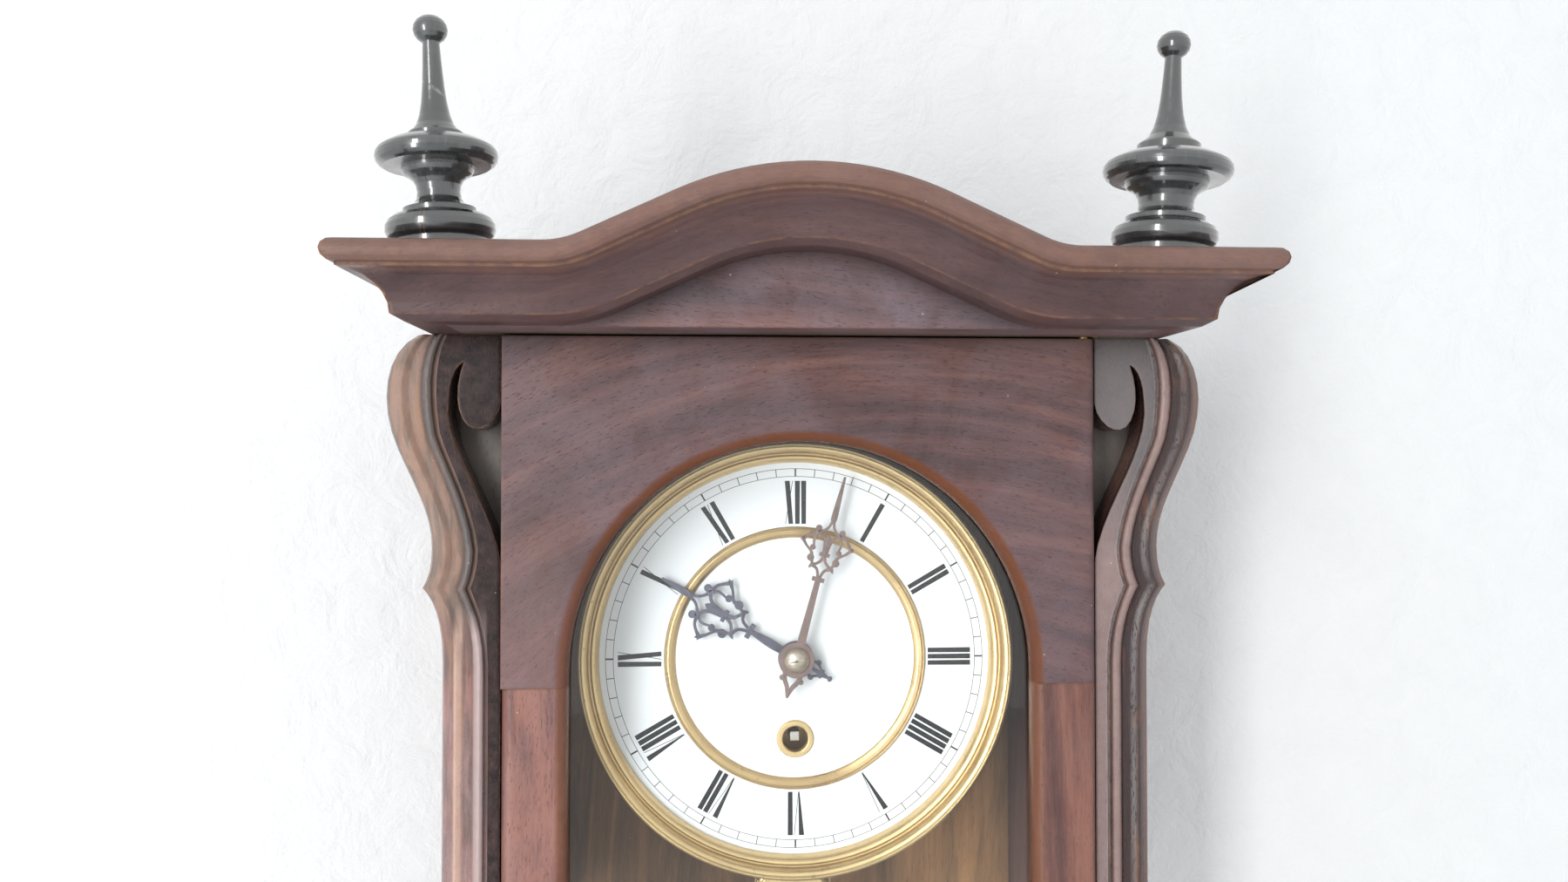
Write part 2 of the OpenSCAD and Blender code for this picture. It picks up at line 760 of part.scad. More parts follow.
// Keeps the half plane on one side of the mitre at the base corner
module base_mitre(side) {
    translate([half_w, -base_d, floor_z - 60])
        rotate([0, 0, -45])
            translate([-cornice_w, side > 0 ? 0 : -cornice_w, 0])
                cube([2 * cornice_w, cornice_w, 120]);
}

module base_moulding() {
    color("#4f2b25") {
        both_sides() difference() {
            translate([half_w, 0, floor_z]) base_run(base_d + base_reach);
            base_mitre(-1);
        }
        difference() {
            translate([half_w + base_reach, -base_d, floor_z])
                rotate([0, 0, -90])
                    base_run(case_w + 2 * base_reach);
            base_mitre(1);
            mirror([1, 0, 0]) base_mitre(1);
        }
    }
}

// Half of the apron's lower edge as x and drop below the bottom board
module apron() {
    half = drop_x - drop_r - 2;
    z = floor_z - board_t;
    edge = concat(
        [[0, -apron_h]],
        curve([[0, -apron_h], [14, -apron_h], [22, -apron_h + 12], [26, -apron_h + 24]], 6, 1),
        curve([[26, -apron_h + 24], [30, -apron_h + 34], [44, -30], [58, -36]], 6, 1),
        curve([[58, -36], [72, -42], [half - 8, -40], [half, -24]], 6, 1));
    color("#4c2c26") difference() {
        slab(drop_d - apron_t / 2, drop_d + apron_t / 2)
            polygon([for (p = concat([[-half, 0]], [for (i = [len(edge) - 1:-1:1]) [-edge[i][0], edge[i][1]]],
                edge, [[half, 0]])) [p[0], z + p[1]]]);
        rod_up(0, drop_d, drop_peg_r, z - apron_h - cut, z - apron_h + 10);
    }
}

function drop_outline(h) = concat(
    [[0, 9], [drop_peg_r, 9], [drop_peg_r, 0], [drop_r - 3, 0], [drop_r - 3, -4], [drop_r - 6, -5.5]],
    curve([[drop_r - 6, -5.5], [drop_r - 8, -9], [drop_r - 5, -12], [drop_r, -16]], 4, 1),
    curve([[drop_r, -16], [drop_r + 1, -h * 0.45], [drop_r - 5, -h * 0.62], [5, -h * 0.74]], 7, 1),
    [[6.5, -h * 0.78], [4, -h * 0.82]],
    arc(0, -h + 5, 5, 40, -90, 6));

module turned_drops() {
    color("#23211f") {
        for (x = [-drop_x, drop_x])
            translate([x, -drop_d, floor_z - board_t])
                rotate_extrude($fn = 48) polygon(drop_outline(drop_h));
        translate([0, -drop_d, floor_z - board_t - apron_h])
            intersection() {
                rotate_extrude($fn = 48) polygon(drop_outline(drop_h * 0.8));
                translate([-drop_r * 2, -drop_r * 2, -drop_h])
                    cube([drop_r * 4, drop_r * 4, 2 * drop_h]);
            }
    }
}

// Hanging plate, let into the back of the back board, with its eye above the wood
hanger_half = 14;
hanger_foot = -44;
hanger_screw_places = [top_z - 4, top_z - 18];

module hanger_outline() {
    circle(r = hanger_half, $fn = round_n);
    translate([-hanger_half, hanger_foot]) square([2 * hanger_half, -hanger_foot]);
}

module hanger_outline_cut() {
    slab(-cut, hanger_t) hanger_outline();
}

module hanger_plate() {
    color("#6c6a66") difference() {
        slab(0, hanger_t) hanger_outline();
        rod(0, 0, eye_r, -cut, hanger_t + cut, round_n);
        for (z = hanger_screw_places) {
            rod(0, z, screw_hole_r, -cut, hanger_t + cut);
            rod(0, z, 3.5, -cut, 1.3);
        }
    }
}

// A countersunk wood screw with its head at depth d1, the point towards the wall
module wood_screw(x, z, d1, length, head_r = 3.4) {
    spun(x, z, 32)
        polygon([[0, d1 - length], [screw_hole_r, d1 - length + 2], [screw_hole_r, d1 - 1.2],
            [head_r, d1 - 1.2], [head_r * 0.8, d1], [0, d1]]);
}

bracket_screw_places = [[-20, dial_z + 50], [20, dial_z + 50], [-12, plate_foot_z - 6],
    [12, plate_foot_z - 6]];
scale_screw_x = scale_w / 2 - 8;

module case_screws() {
    color("#8a8478") {
        for (z = hanger_screw_places)
            translate([0, -back_t, 0])
                mirror([0, 1, 0])
                    wood_screw(0, z, back_t, back_t - 1);
        for (p = bracket_screw_places)
            wood_screw(p[0], p[1], back_t + bracket_t + 1.2, bracket_t + 6);
        for (x = [-scale_screw_x, scale_screw_x])
            wood_screw(x, scale_z, back_t + scale_t + 1.2, scale_t + 5, 2.6);
    }
}

// Iron bracket: a frame on the back board, two arms and the suspension cock
bracket_t = 4;
bracket_half = 30;
arm_w = 8;
arm_h = 7;
cock_half = 9;
cock_z1 = pallet_z + 12;
slot_half = 0.8;

module movement_bracket() {
    arm_end = front_plate_d1 + 3;
    color("#2d2f30") difference() {
        union() {
            slab(back_t, back_t + bracket_t) difference() {
                translate([-bracket_half, plate_foot_z - 14])
                    square([2 * bracket_half, dial_z + 60 - plate_foot_z + 14]);
                translate([-bracket_half + 14, plate_foot_z + 8])
                    square([2 * bracket_half - 28, dial_z + 32 - plate_foot_z - 8]);
            }
            for (x = [-bracket_half, bracket_half - arm_w])
                block(x, x + arm_w, back_t, arm_end, plate_foot_z - arm_h, plate_foot_z);
            block(-cock_half, cock_half, back_t, pendulum_d + 6.5, cock_z1 - 8, cock_z1);
        }
        block(-slot_half, slot_half, pendulum_d - 5, pendulum_d + 5, pallet_z, pallet_z + 20);
        for (p = bracket_screw_places)
            rod(p[0], p[1], screw_hole_r, back_t - cut, back_t + bracket_t + cut);
    }
}

scale_t = 1.6;
scale_r = pallet_z - screw_foot + 4;
scale_z = pallet_z - scale_r - 9;

module beat_scale() {
    color("#efe9da") difference() {
        intersection() {
            difference() {
                rod(0, pallet_z, scale_r + 17, back_t, back_t + scale_t, 180);
                rod(0, pallet_z, scale_r, back_t - cut, back_t + scale_t + cut, 180);
            }
            block(-scale_w / 2, scale_w / 2, 0, back_t + 10, floor_z + 2, bob_z);
        }
        for (x = [-scale_screw_x, scale_screw_x])
            rod(x, scale_z, screw_hole_r, back_t - cut, back_t + scale_t + cut);
    }
}

// Movement plates
pillar_x = plate_w / 2 - 6;
pillar_places = [[-pillar_x, dial_z + plate_top - 7], [pillar_x, dial_z + plate_top - 7],
    [-pillar_x, plate_foot_z + 7], [pillar_x, plate_foot_z + 7]];
pillar_end_r = 2.2;
gut_post_x = pulley_r;
gut_post_r = 2;
gut_post_z = winding_z - gut_d + gut_post_r;

module movement_plate(d0) {
    slab(d0, d0 + plate_t)
        translate([-plate_w / 2, plate_foot_z])
            square([plate_w, dial_z + plate_top - plate_foot_z]);
}

module pillar_holes(d0) {
    for (p = pillar_places)
        rod(p[0], p[1], pillar_end_r, d0 - cut, d0 + plate_t + cut);
}

module back_plate() {
    d0 = movement_d0;
    color("#c9a24b") difference() {
        movement_plate(d0);
        pillar_holes(d0);
        rod(0, winding_z, drum_arbor_r - 0.9 + running, d0 - cut, inner_d0 + cut);
        rod(0, dial_z, arbor_r + running, d0 - cut, inner_d0 + cut);
        rod(third_x, third_z, arbor_r + running, d0 - cut, inner_d0 + cut);
        rod(0, escape_z, arbor_r + running, d0 - cut, inner_d0 + cut);
        rod(0, pallet_z, arbor_r + running, d0 - cut, inner_d0 + cut);
    }
}

module front_plate() {
    d0 = inner_d1;
    d1 = front_plate_d1;
    color("#c9a24b") difference() {
        movement_plate(d0);
        pillar_holes(d0);
        rod(0, winding_z, drum_arbor_r + running, d0 - cut, d1 + cut);
        rod(0, dial_z, arbor_r + running, d0 - cut, d1 + cut);
        rod(third_x, third_z, arbor_r + running, d0 - cut, d1 + cut);
        rod(0, escape_z, arbor_r + running, d0 - cut, d1 + cut);
        rod(0, pallet_z, arbor_r + running, d0 - cut, d1 + cut);
        rod(motion_dist, dial_z, stud_r, d0 - cut, d1 + cut);
        rod(gut_post_x, gut_post_z, stud_r, d0 - cut, d1 + cut);
        for (p = foot_places)
            rod(p[0], p[1], foot_r, d0 - cut, d1 + cut);
    }
}

stud_r = 1.2;
foot_r = 1.8;
foot_places = [[-34, dial_z + 40], [34, dial_z + 40], [-34, dial_z - 52], [34, dial_z - 52]];

module plate_pillars() {
    color("#d8b35a") {
        for (p = pillar_places) {
            spun(p[0], p[1], 32)
                polygon([[0, movement_d0 - 3], [3.4, movement_d0 - 3], [3.4, movement_d0],
                    [pillar_end_r, movement_d0], [pillar_end_r, inner_d0], [4.4, inner_d0],
                    [4.4, inner_d0 + 3], [3, inner_d0 + 5], [3, inner_d1 - 5], [4.4, inner_d1 - 3],
                    [4.4, inner_d1], [pillar_end_r, inner_d1], [pillar_end_r, front_plate_d1],
                    [3.4, front_plate_d1], [3.4, front_plate_d1 + 3], [0, front_plate_d1 + 3]]);
        }
        spun(gut_post_x, gut_post_z, 32)
            polygon([[0, line_d - 5], [gut_post_r, line_d - 5], [gut_post_r, inner_d1],
                [stud_r, inner_d1], [stud_r, front_plate_d1], [0, front_plate_d1]]);
        spun(motion_dist, dial_z, 32)
            polygon([[0, inner_d1], [stud_r, inner_d1], [stud_r, cannon_d0 + 8], [0, cannon_d0 + 8]]);
    }
}

// Dial
module dial_plate() {
    color("#b9913f") difference() {
        union() {
            spun(0, dial_z)
                square_ring(hour_pipe_r + passing + 0.5, bezel_r - bezel_skirt_t - 0.1,
                    dial_plate_d0, enamel_d0);
            for (p = foot_places)
                rod(p[0], p[1], foot_r, inner_d1, dial_plate_d0 + 0.5);
        }
        rod(0, winding_z, grommet_r, dial_plate_d0 - cut, enamel_d0 + cut);
    }
}

module square_ring(r0, r1, d0, d1) {
    translate([r0, d0]) square([r1 - r0, d1 - d0]);
}

grommet_r = 6.3;
ring_seat_r = ring_outer_r - 1.7;

module chapter_ring() {
    color("#f5f7fa") spun(0, dial_z, 96)
        square_ring(ring_seat_r, sight_r + 1.6, enamel_d0, dial_d);
}

module centre_disc() {
    color("#f5f7fa") difference() {
        spun(0, dial_z, 96)
            square_ring(hour_pipe_r + passing + 0.5, ring_seat_r - 1.7, enamel_d0,
                enamel_d0 + centre_enamel_t);
        rod(0, winding_z, grommet_r, enamel_d0 - cut, dial_d + cut);
    }
}

module inner_ring() {
    d = enamel_d0 + centre_enamel_t;
    color("#cda349") spun(0, dial_z, 96)
        polygon([[ring_seat_r - 1.7, enamel_d0], [ring_seat_r, enamel_d0], [ring_seat_r, dial_d],
            [ring_outer_r, dial_d], [ring_outer_r, dial_d + 0.5], [ring_outer_r - 0.5, dial_d + 0.9],
            [ring_outer_r - 1, dial_d + 0.6], [ring_outer_r - 1.6, dial_d + 1],
            [ring_outer_r - 3.2, dial_d + 0.7], [ring_inner_r + 0.3, d + 0.7], [ring_inner_r, d],
            [ring_seat_r - 1.7, d]]);
}

// Bezel section as radius and depth: seat, inner roll, groove, roll, line, rim
module bezel() {
    s = sight_r;
    w = bezel_r - sight_r;
    color("#cda349") spun(0, dial_z, 96)
        polygon(concat(
            [[s + 1.7, enamel_d0], [s + 1.7, dial_d], [s, dial_d], [s, dial_d + 1]],
            curve([[s, dial_d + 1], [s + 0.2, dial_d + 4], [s + 1.2, dial_d + 5.4],
                [s + 2.6, dial_d + 5.6]], 5, 1),
            [[s + 3.3, dial_d + 4.9], [s + 4, dial_d + 5]],
            curve([[s + 4, dial_d + 5], [s + 4.4, dial_d + 7.6], [s + 5.4, dial_d + 8.6],
                [s + 6.6, dial_d + 8.8]], 5, 1),
            [[s + 6.8, dial_d + 8.4], [s + 7.1, dial_d + 8.4], [s + 7.3, dial_d + 8.9]],
            curve([[s + 7.3, dial_d + 8.9], [s + w - 0.6, dial_d + 8.8], [s + w, dial_d + 8],
                [s + w, dial_d + 6.5]], 4, 1),
            [[s + w, dial_plate_d0 - 2], [s + w - bezel_skirt_t, dial_plate_d0 - 2],
                [s + w - bezel_skirt_t, enamel_d0]]));
}

module winding_grommet() {
    color("#cda349") spun(0, winding_z)
        polygon([[5.3, dial_plate_d0], [grommet_r, dial_plate_d0],
            [grommet_r, enamel_d0 + centre_enamel_t], [8, enamel_d0 + centre_enamel_t],
            [7.6, enamel_d0 + centre_enamel_t + 0.8], [5.7, enamel_d0 + centre_enamel_t + 0.8],
            [5.3, enamel_d0 + centre_enamel_t + 0.3]]);
}

// Door
module door_face(z0, z1) {
    difference() {
        block(-door_half, door_half, door_d0, door_d1, z0, z1);
        difference() {
            block(pivot_x, door_half + cut, pivot_d, door_d1 + cut, z0 - cut, z1 + cut);
            rod_up(pivot_x, pivot_d, pivot_inset, z0 - 2 * cut, z1 + 2 * cut);
        }
    }
}

// Waste of the quarter-round, as distance out from the opening and depth
module ovolo_waste() {
    difference() {
        translate([-cut, door_d1 - ovolo_r]) square([ovolo_r + cut, ovolo_r + cut]);
        translate([ovolo_r, door_d1 - ovolo_r]) circle(r = ovolo_r, $fn = round_n);
    }
}

module door_head() {
    color("#5b342d") difference() {
        door_face(head_z, door_top);
        rod(0, dial_z, opening_r, door_d0 - cut, door_d1 + cut, 96);
        rod(0, dial_z, opening_r + rebate, door_d0 - cut, lip_d, 96);
        block(-opening_r, opening_r, door_d0 - cut, door_d1 + cut, head_z - cut, dial_z);
        block(-opening_r - rebate, opening_r + rebate, door_d0 - cut, lip_d, head_z - cut, dial_z);
        spun(0, dial_z, 96) translate([opening_r, 0]) ovolo_waste();
        both_sides() translate([opening_r, 0, head_z - cut])
            stile_waste(dial_z - head_z + cut);
        rod_up(pivot_x, pivot_d, pivot_r, door_top - 12, door_top + cut);
    }
}

module stile_waste(length) {
    linear_extrude(length)
        mirror([0, 1]) ovolo_waste();
}

rail_top = door_bottom + rail_h;

module door_stile() {
    difference() {
        intersection() {
            door_face(door_bottom, head_z);
            block(opening_r, door_half + cut, door_d0 - cut, door_d1 + cut, door_bottom, head_z);
        }
        block(opening_r - cut, opening_r + rebate, door_d0 - cut, lip_d, door_bottom - cut,
            head_z + cut);
        block(opening_r - cut, opening_r + ovolo_r, door_d0 - cut, door_d1 + cut,
            door_bottom - cut, rail_top);
        translate([opening_r, 0, door_bottom])
            stile_waste(head_z - door_bottom + cut);
        rod_up(pivot_x, pivot_d, pivot_r, door_bottom - cut, door_bottom + 12);
    }
}

module door_left_stile() {
    color("#633730") difference() {
        mirror([1, 0, 0]) door_stile();
        rod(-latch_x, latch_z, spindle_r + running, door_d0 - cut, door_d1 + cut);
    }
}

module door_right_stile() {
    color("#633730") door_stile();
}

module door_bottom_rail() {
    half = opening_r + ovolo_r;
    color("#5b342d") difference() {
        block(-half, half, door_d0, door_d1, door_bottom, rail_top);
        block(-half - cut, half + cut, door_d0 - cut, lip_d, rail_top - rebate, rail_top + cut);
        translate([-half - cut, 0, rail_top])
            rotate([90, 0, 90])
                linear_extrude(2 * half + 2 * cut)
                    mirror([0, 1]) mirror([1, 0]) rail_waste();
    }
}

// The quarter-round of the rail, drawn as depth and distance down
module rail_waste() {
    difference() {
        translate([door_d1 - ovolo_r, -cut]) square([ovolo_r + cut, ovolo_r + cut]);
        translate([door_d1 - ovolo_r, ovolo_r]) circle(r = ovolo_r, $fn = round_n);
    }
}

module door_glass() {
    r = opening_r + rebate - passing;
    color("#e4ecec", 0.3) slab(lip_d - glass_t, lip_d) {
        intersection() {
            translate([0, dial_z]) circle(r = r, $fn = 96);
            translate([-r, dial_z]) square([2 * r, r]);
        }
        translate([-r, rail_top - rebate + passing])
            square([2 * r, dial_z - rail_top + rebate - passing]);
    }
}

module hinge_sockets() {
    color("#b9913f") {
        difference() {
            rod_up(pivot_x, pivot_d, socket_r, top_z, top_z + socket_t);
            rod_up(pivot_x, pivot_d, pivot_r + running, top_z - cut, top_z + socket_t + cut);
        }
        difference() {
            rod_up(pivot_x, pivot_d, socket_r, floor_z - socket_t, floor_z);
            rod_up(pivot_x, pivot_d, pivot_r + running, floor_z - socket_t - cut, floor_z + cut);
        }
    }
}

module hinge_pins() {
    color("#c9a24b") {
        rod_up(pivot_x, pivot_d, pivot_r, door_top - 12, top_z + 7);
        rod_up(pivot_x, pivot_d, pivot_r, floor_z - 7, door_bottom + 12);
    }
}

// Latch: a turned knob on a spindle, with a tongue behind that stands up when free
module latch() {
    color("#c9a24b") translate([-latch_x, 0, latch_z]) {
        rotate([90, 0, 0]) rotate_extrude($fn = 48)
            polygon(concat([[0, tongue_d], [spindle_r, tongue_d], [spindle_r, door_d1],
                [5, door_d1 + 0.3], [5, door_d1 + 1.5], [3, door_d1 + 3]],
                arc(0, door_d1 + 9, 7.5, -50, 90, 8)));
        slab(tongue_d, tongue_d + tongue_t)
            translate([-spindle_r, 0]) square([2 * spindle_r, tongue_len]);
    }
}

// Going train
module great_wheel() {
    color("#d2a94f") difference() {
        union() {
            crossed_wheel(0, winding_z, great_teeth, great_module, 90, great_d0, great_t, 15, 6);
            rod(click_pivot[0], click_pivot[1], 1.2, great_d0, click_d0 + ratchet_t + 0.3);
        }
        rod(0, winding_z, drum_arbor_r + running, great_d0 - cut, great_d0 + great_t + cut);
    }
}

ratchet_teeth = 24;
ratchet_r = 9.2;
click_pivot = [13, winding_z - 3.5];

module click() {
    color("#7f8488") difference() {
        slab(click_d0, click_d0 + ratchet_t)
            polygon(concat(
                [for (p = arc(click_pivot[0], click_pivot[1], 2.2, 190, 350, 6)) p],
                [[13.8, winding_z + 4], [10.8, winding_z + 6.3], [8.8, winding_z + 5.5]]));
        rod(click_pivot[0], click_pivot[1], 1.2 + running, click_d0 - cut,
            click_d0 + ratchet_t + cut);
    }
}

module winding_drum() {
    color("#c9a24b") {
        rod(0, winding_z, drum_arbor_r - 0.9, movement_d0 - 1.5, inner_d0 + 0.8);
        rod(0, winding_z, drum_arbor_r, inner_d0 + 0.6, front_plate_d1 + 1);
        translate([0, 0, winding_z]) {
            slab(front_plate_d1, dial_plate_d0 - 2)
                translate([-square_w / 2, -square_w / 2]) square(square_w);
            slab(click_d0, click_d0 + ratchet_t + 0.8)
                polygon([for (i = [0:ratchet_teeth - 1]) let (a = i * 360 / ratchet_teeth) each [
                    (ratchet_r - 1.5) * [cos(a), sin(a)], ratchet_r * [cos(a + 1), sin(a + 1)]]]);
        }
        rod(0, winding_z, barrel_r, drum_d0, drum_d0 + drum_len, round_n);
        rod(0, winding_z, drum_r + 2.2, drum_d0, drum_d0 + flange_t, round_n);
        rod(0, winding_z, drum_r + 2.2, drum_d0 + drum_len - flange_t, drum_d0 + drum_len, round_n);
    }
}

// The wound line: one unbroken tube that runs forward round the drum
function tube_ring(c, u, v, r, sides = 6) =
    [for (i = [0:sides - 1]) let (a = i * 360 / sides) c + r * cos(a) * u + r * sin(a) * v];

module gut_winding() {
    steps = turn_steps;
    total = floor(gut_turns * steps);
    start_d = line_d - gut_pitch * gut_turns;
    turns = [for (k = [0:total])
        let (a = 180 - (total - k) * 360 / steps, u = [cos(a), 0, sin(a)])
            tube_ring(line_r * u + [0, -(start_d + gut_pitch * k / steps), winding_z],
                u, [0, -1, 0], gut_d / 2)];
    color("#d9c9a0") sweep(concat(turns, [tube_ring([-line_r, -line_d, winding_z - gut_d],
        [-1, 0, 0], [0, -1, 0], gut_d / 2)]));
    echo(least_gap_of_wound_line = gut_pitch - gut_d);
}

module centre_wheel() {
    color("#d2a94f") {
        crossed_wheel(0, dial_z, centre_teeth, centre_module, third_bearing(), centre_d0,
            wheel_t, 4);
        rod(0, dial_z, arbor_r, movement_d0, minute_hand_d + 2.5);
        translate([0, 0, dial_z])
            slab(inner_d0 + 0.6, centre_d0 + 0.2)
                pinion_teeth(pinion_leaves, great_module, -90);
        rod(0, dial_z, 2.4, centre_d0 + wheel_t - 0.2, centre_d0 + wheel_t + 3);
    }
}

// Directions between the arbors, in degrees from +X towards +Z
function third_bearing() = atan2(third_z - dial_z, third_x);
function escape_bearing() = atan2(escape_z - third_z, -third_x);

module cannon_pinion() {
    color("#9a9ea2") difference() {
        union() {
            translate([0, 0, dial_z])
                slab(cannon_d0, hour_wheel_d0 - 0.5)
                    gear(cannon_teeth, motion_module, 0.5, 0.9, 0.36, 180 / cannon_teeth);
            rod(0, dial_z, pipe_r, hour_wheel_d0 - 0.6, minute_hand_d + hand_t, 48);
        }
        rod(0, dial_z, arbor_r, cannon_d0 - cut, minute_hand_d + 6);
    }
}

module minute_wheel() {
    color("#d2a94f") difference() {
        union() {
            translate([motion_dist, 0, dial_z]) {
                slab(cannon_d0 + 0.4, cannon_d0 + 1.9)
                    wheel_teeth(minute_teeth, motion_module, 180);
                slab(cannon_d0 + 1.8, cannon_d0 + 6.6)
                    gear(minute_leaves, hour_module, 0.5, 0.9, 0.36, 180 + 180 / minute_leaves);
            }
        }
        rod(motion_dist, dial_z, stud_r + running, cannon_d0 - cut, cannon_d0 + 8);
    }
}

module hour_wheel() {
    color("#d2a94f") difference() {
        union() {
            translate([0, 0, dial_z])
                slab(hour_wheel_d0, hour_wheel_d0 + 1.5)
                    wheel_teeth(hour_teeth, hour_module, 0);
            rod(0, dial_z, hour_pipe_r, hour_wheel_d0 + 1.4, hour_hand_d + hand_t, 48);
        }
        rod(0, dial_z, pipe_r + running + 0.04, hour_wheel_d0 - cut, hour_hand_d + hand_t + cut, 48);
    }
}

// A tapering ribbon along a curve, w0 wide at its start and w1 at its end
module ribbon(p, w0, w1, n = 8) {
    c = curve(p, n);
    d = normals(c);
    half = function(i) (w0 + (w1 - w0) * i / n) / 2;
    polygon(concat([for (i = [0:n]) c[i] + d[i] * half(i)],
        [for (i = [n:-1:0]) c[i] - d[i] * half(i)]));
}

// Half of the pierced ornament, drawn along +Y from 0 to 29.5 and out to 13.7,
// then scaled to the ornament's own length and half width
module fret_half(l, h) {
    s = function(x, y) [x * h / 13.7, y * l / 29.5];
    w = 1;
    ribbon([s(0, 0), s(0.8, 3.4), s(2.5, 4.6), s(5.4, 5.1)], w, w * 1.2);
    ribbon([s(5.4, 4.6), s(5.2, 9.5), s(9.6, 11.5), s(13.7, 17.1)], w, w * 0.8);
    ribbon([s(13.7, 17.1), s(10.5, 18.4), s(10.6, 21.2), s(6.2, 22)], w * 0.8, w * 1.9);
    ribbon([s(6.2, 22.6), s(3.4, 22.6), s(1.4, 25), s(0, 29.6)], w * 1.3, w * 1.2);
    ribbon([s(6.4, 22.2), s(2.8, 22.4), s(1.2, 20), s(0.5, 12)], w * 1.3, w * 1.6);
    ribbon([s(4.2, 21.4), s(7.4, 21.2), s(7.6, 18), s(7, 15)], w, w * 0.8);
    ribbon([s(0.3, 12.4), s(0.6, 8.6), s(2.4, 6.8), s(5.4, 5.1)], w * 1.3, w);
    for (p = [[6.5, 9.2, 1.5], [7, 15, 1.3], [6.3, 24.4, 1.5]])
        translate(s(p[0], p[1])) circle(r = p[2], $fn = 24);
}

module fret(from, l, h) {
    translate([0, from]) {
        fret_half(l, h);
        mirror([1, 0]) fret_half(l, h);
        translate([-2.8, -0.8]) square([5.6, 1.6]);
        translate([-2.4, 0.4 * l]) square([4.8, 1.1]);
        translate([-0.7, 0.36 * l]) square([1.4, 0.34 * l]);
    }
}

module tail_dots(places) {
    for (p = places, side = [-1, 1])
        translate([side * p[0], p[1]]) circle(r = p[2], $fn = 24);
}

module minute_outline() {
    from = minute_len * 0.438;
    l = minute_len * 0.318;
    circle(r = hand_disc_r, $fn = round_n);
    polygon([[-1.7, 4], [1.7, 4], [1.15, from], [-1.15, from]]);
    fret(from, l, 10.6);
    polygon([[-1, from + l - 1.5], [1, from + l - 1.5], [1.3, from + l + 2], [0.45, minute_len],
        [-0.45, minute_len], [-1.3, from + l + 2]]);
    for (side = [-1, 1])
        ribbon([[side * 4.6, -6], [side * 3.6, -9], [side * 1.2, -11.5], [0, -16.2]], 1.3, 0.9);
    tail_dots([[5, -7.2, 1.3]]);
}

module hour_outline() {
    from = hour_len * 0.341;
    l = hour_len * 0.447;
    circle(r = hand_disc_r, $fn = round_n);
    polygon([[-1.5, 4], [1.5, 4], [1.9, 13], [1, from], [-1, from], [-1.9, 13]]);
    fret(from, l, 13.7);
    polygon([[-0.9, from + l - 1.5], [0.9, from + l - 1.5], [1.4, from + l + 3], [0.5, hour_len],
        [-0.5, hour_len], [-1.4, from + l + 3]]);
    for (side = [-1, 1])
        ribbon([[side * 3.4, -6], [side * 3, -9.5], [side * 1.2, -12], [0, -14.6]], 1.2, 1);
    tail_dots([[3.7, -8.2, 1.1], [0, -14.4, 1.2], [0, -16.2, 0.9]]);
}

module minute_hand() {
    color("#6e4f47") difference() {
        translate([0, 0, dial_z])
            rotate([0, minute_angle, 0])
                slab(minute_hand_d, minute_hand_d + hand_t) minute_outline();
        rod(0, dial_z, pipe_r, minute_hand_d - cut, minute_hand_d + hand_t + cut, 48);
    }
}

module hour_hand() {
    color("#454a5c") difference() {
        translate([0, 0, dial_z])
            rotate([0, hour_angle, 0])
                slab(hour_hand_d, hour_hand_d + hand_t) hour_outline();
        rod(0, dial_z, hour_pipe_r, hour_hand_d - cut, hour_hand_d + hand_t + cut, 48);
    }
}

module hand_nut() {
    d = minute_hand_d + hand_t;
    color("#b8b2a4") difference() {
        spun(0, dial_z, 48)
            polygon(concat([[arbor_r, d], [5.1, d], [5.1, d + 0.7]],
                arc(0, d - 3, 6.4, 35.3, 90, 6), [[0, d + 3], [arbor_r, d + 2]]));
        translate([0, 0, dial_z]) rotate([0, -12, 0])
            block(-6, 6, d + 2.6, d + 6, -0.35, 0.35);
    }
}

module third_wheel() {
    color("#d2a94f") {
        crossed_wheel(third_x, third_z, third_teeth, third_module, escape_bearing(), third_d0,
            wheel_t, 3);
        rod(third_x, third_z, arbor_r, movement_d0, front_plate_d1);
        translate([third_x, 0, third_z])
            slab(centre_d0 - 1.5, centre_d0 + wheel_t + 1.5)
                pinion_teeth(pinion_leaves, centre_module, third_bearing() + 180);
    }
}

module escape_wheel() {
    teeth = 30;
    color("#d2a94f") {
        translate([0, 0, escape_z]) {
            slab(escape_d0, escape_d0 + 1.2) {
                difference() {
                    polygon([for (i = [0:teeth - 1]) let (a = i * 360 / teeth) each [
                        escape_r * [cos(a), sin(a)], (escape_r - 2.6) * [cos(a + 1.2), sin(a + 1.2)],
                        (escape_r - 2.9) * [cos(a + 6), sin(a + 6)],
                        (escape_r - 2.2) * [cos(a + 9), sin(a + 9)]]]);
                    circle(r = escape_r - 4, $fn = 48);
                }
                circle(r = 2.6, $fn = 32);
                for (i = [0:4])
                    rotate(i * 72) translate([1.5, -0.6]) square([escape_r - 5, 1.2]);
            }
            slab(third_d0 - 1, third_d0 + wheel_t + 1)
                pinion_teeth(pinion_leaves, third_module, escape_bearing() + 180);
        }
        rod(0, escape_z, arbor_r, movement_d0, front_plate_d1);
    }
}

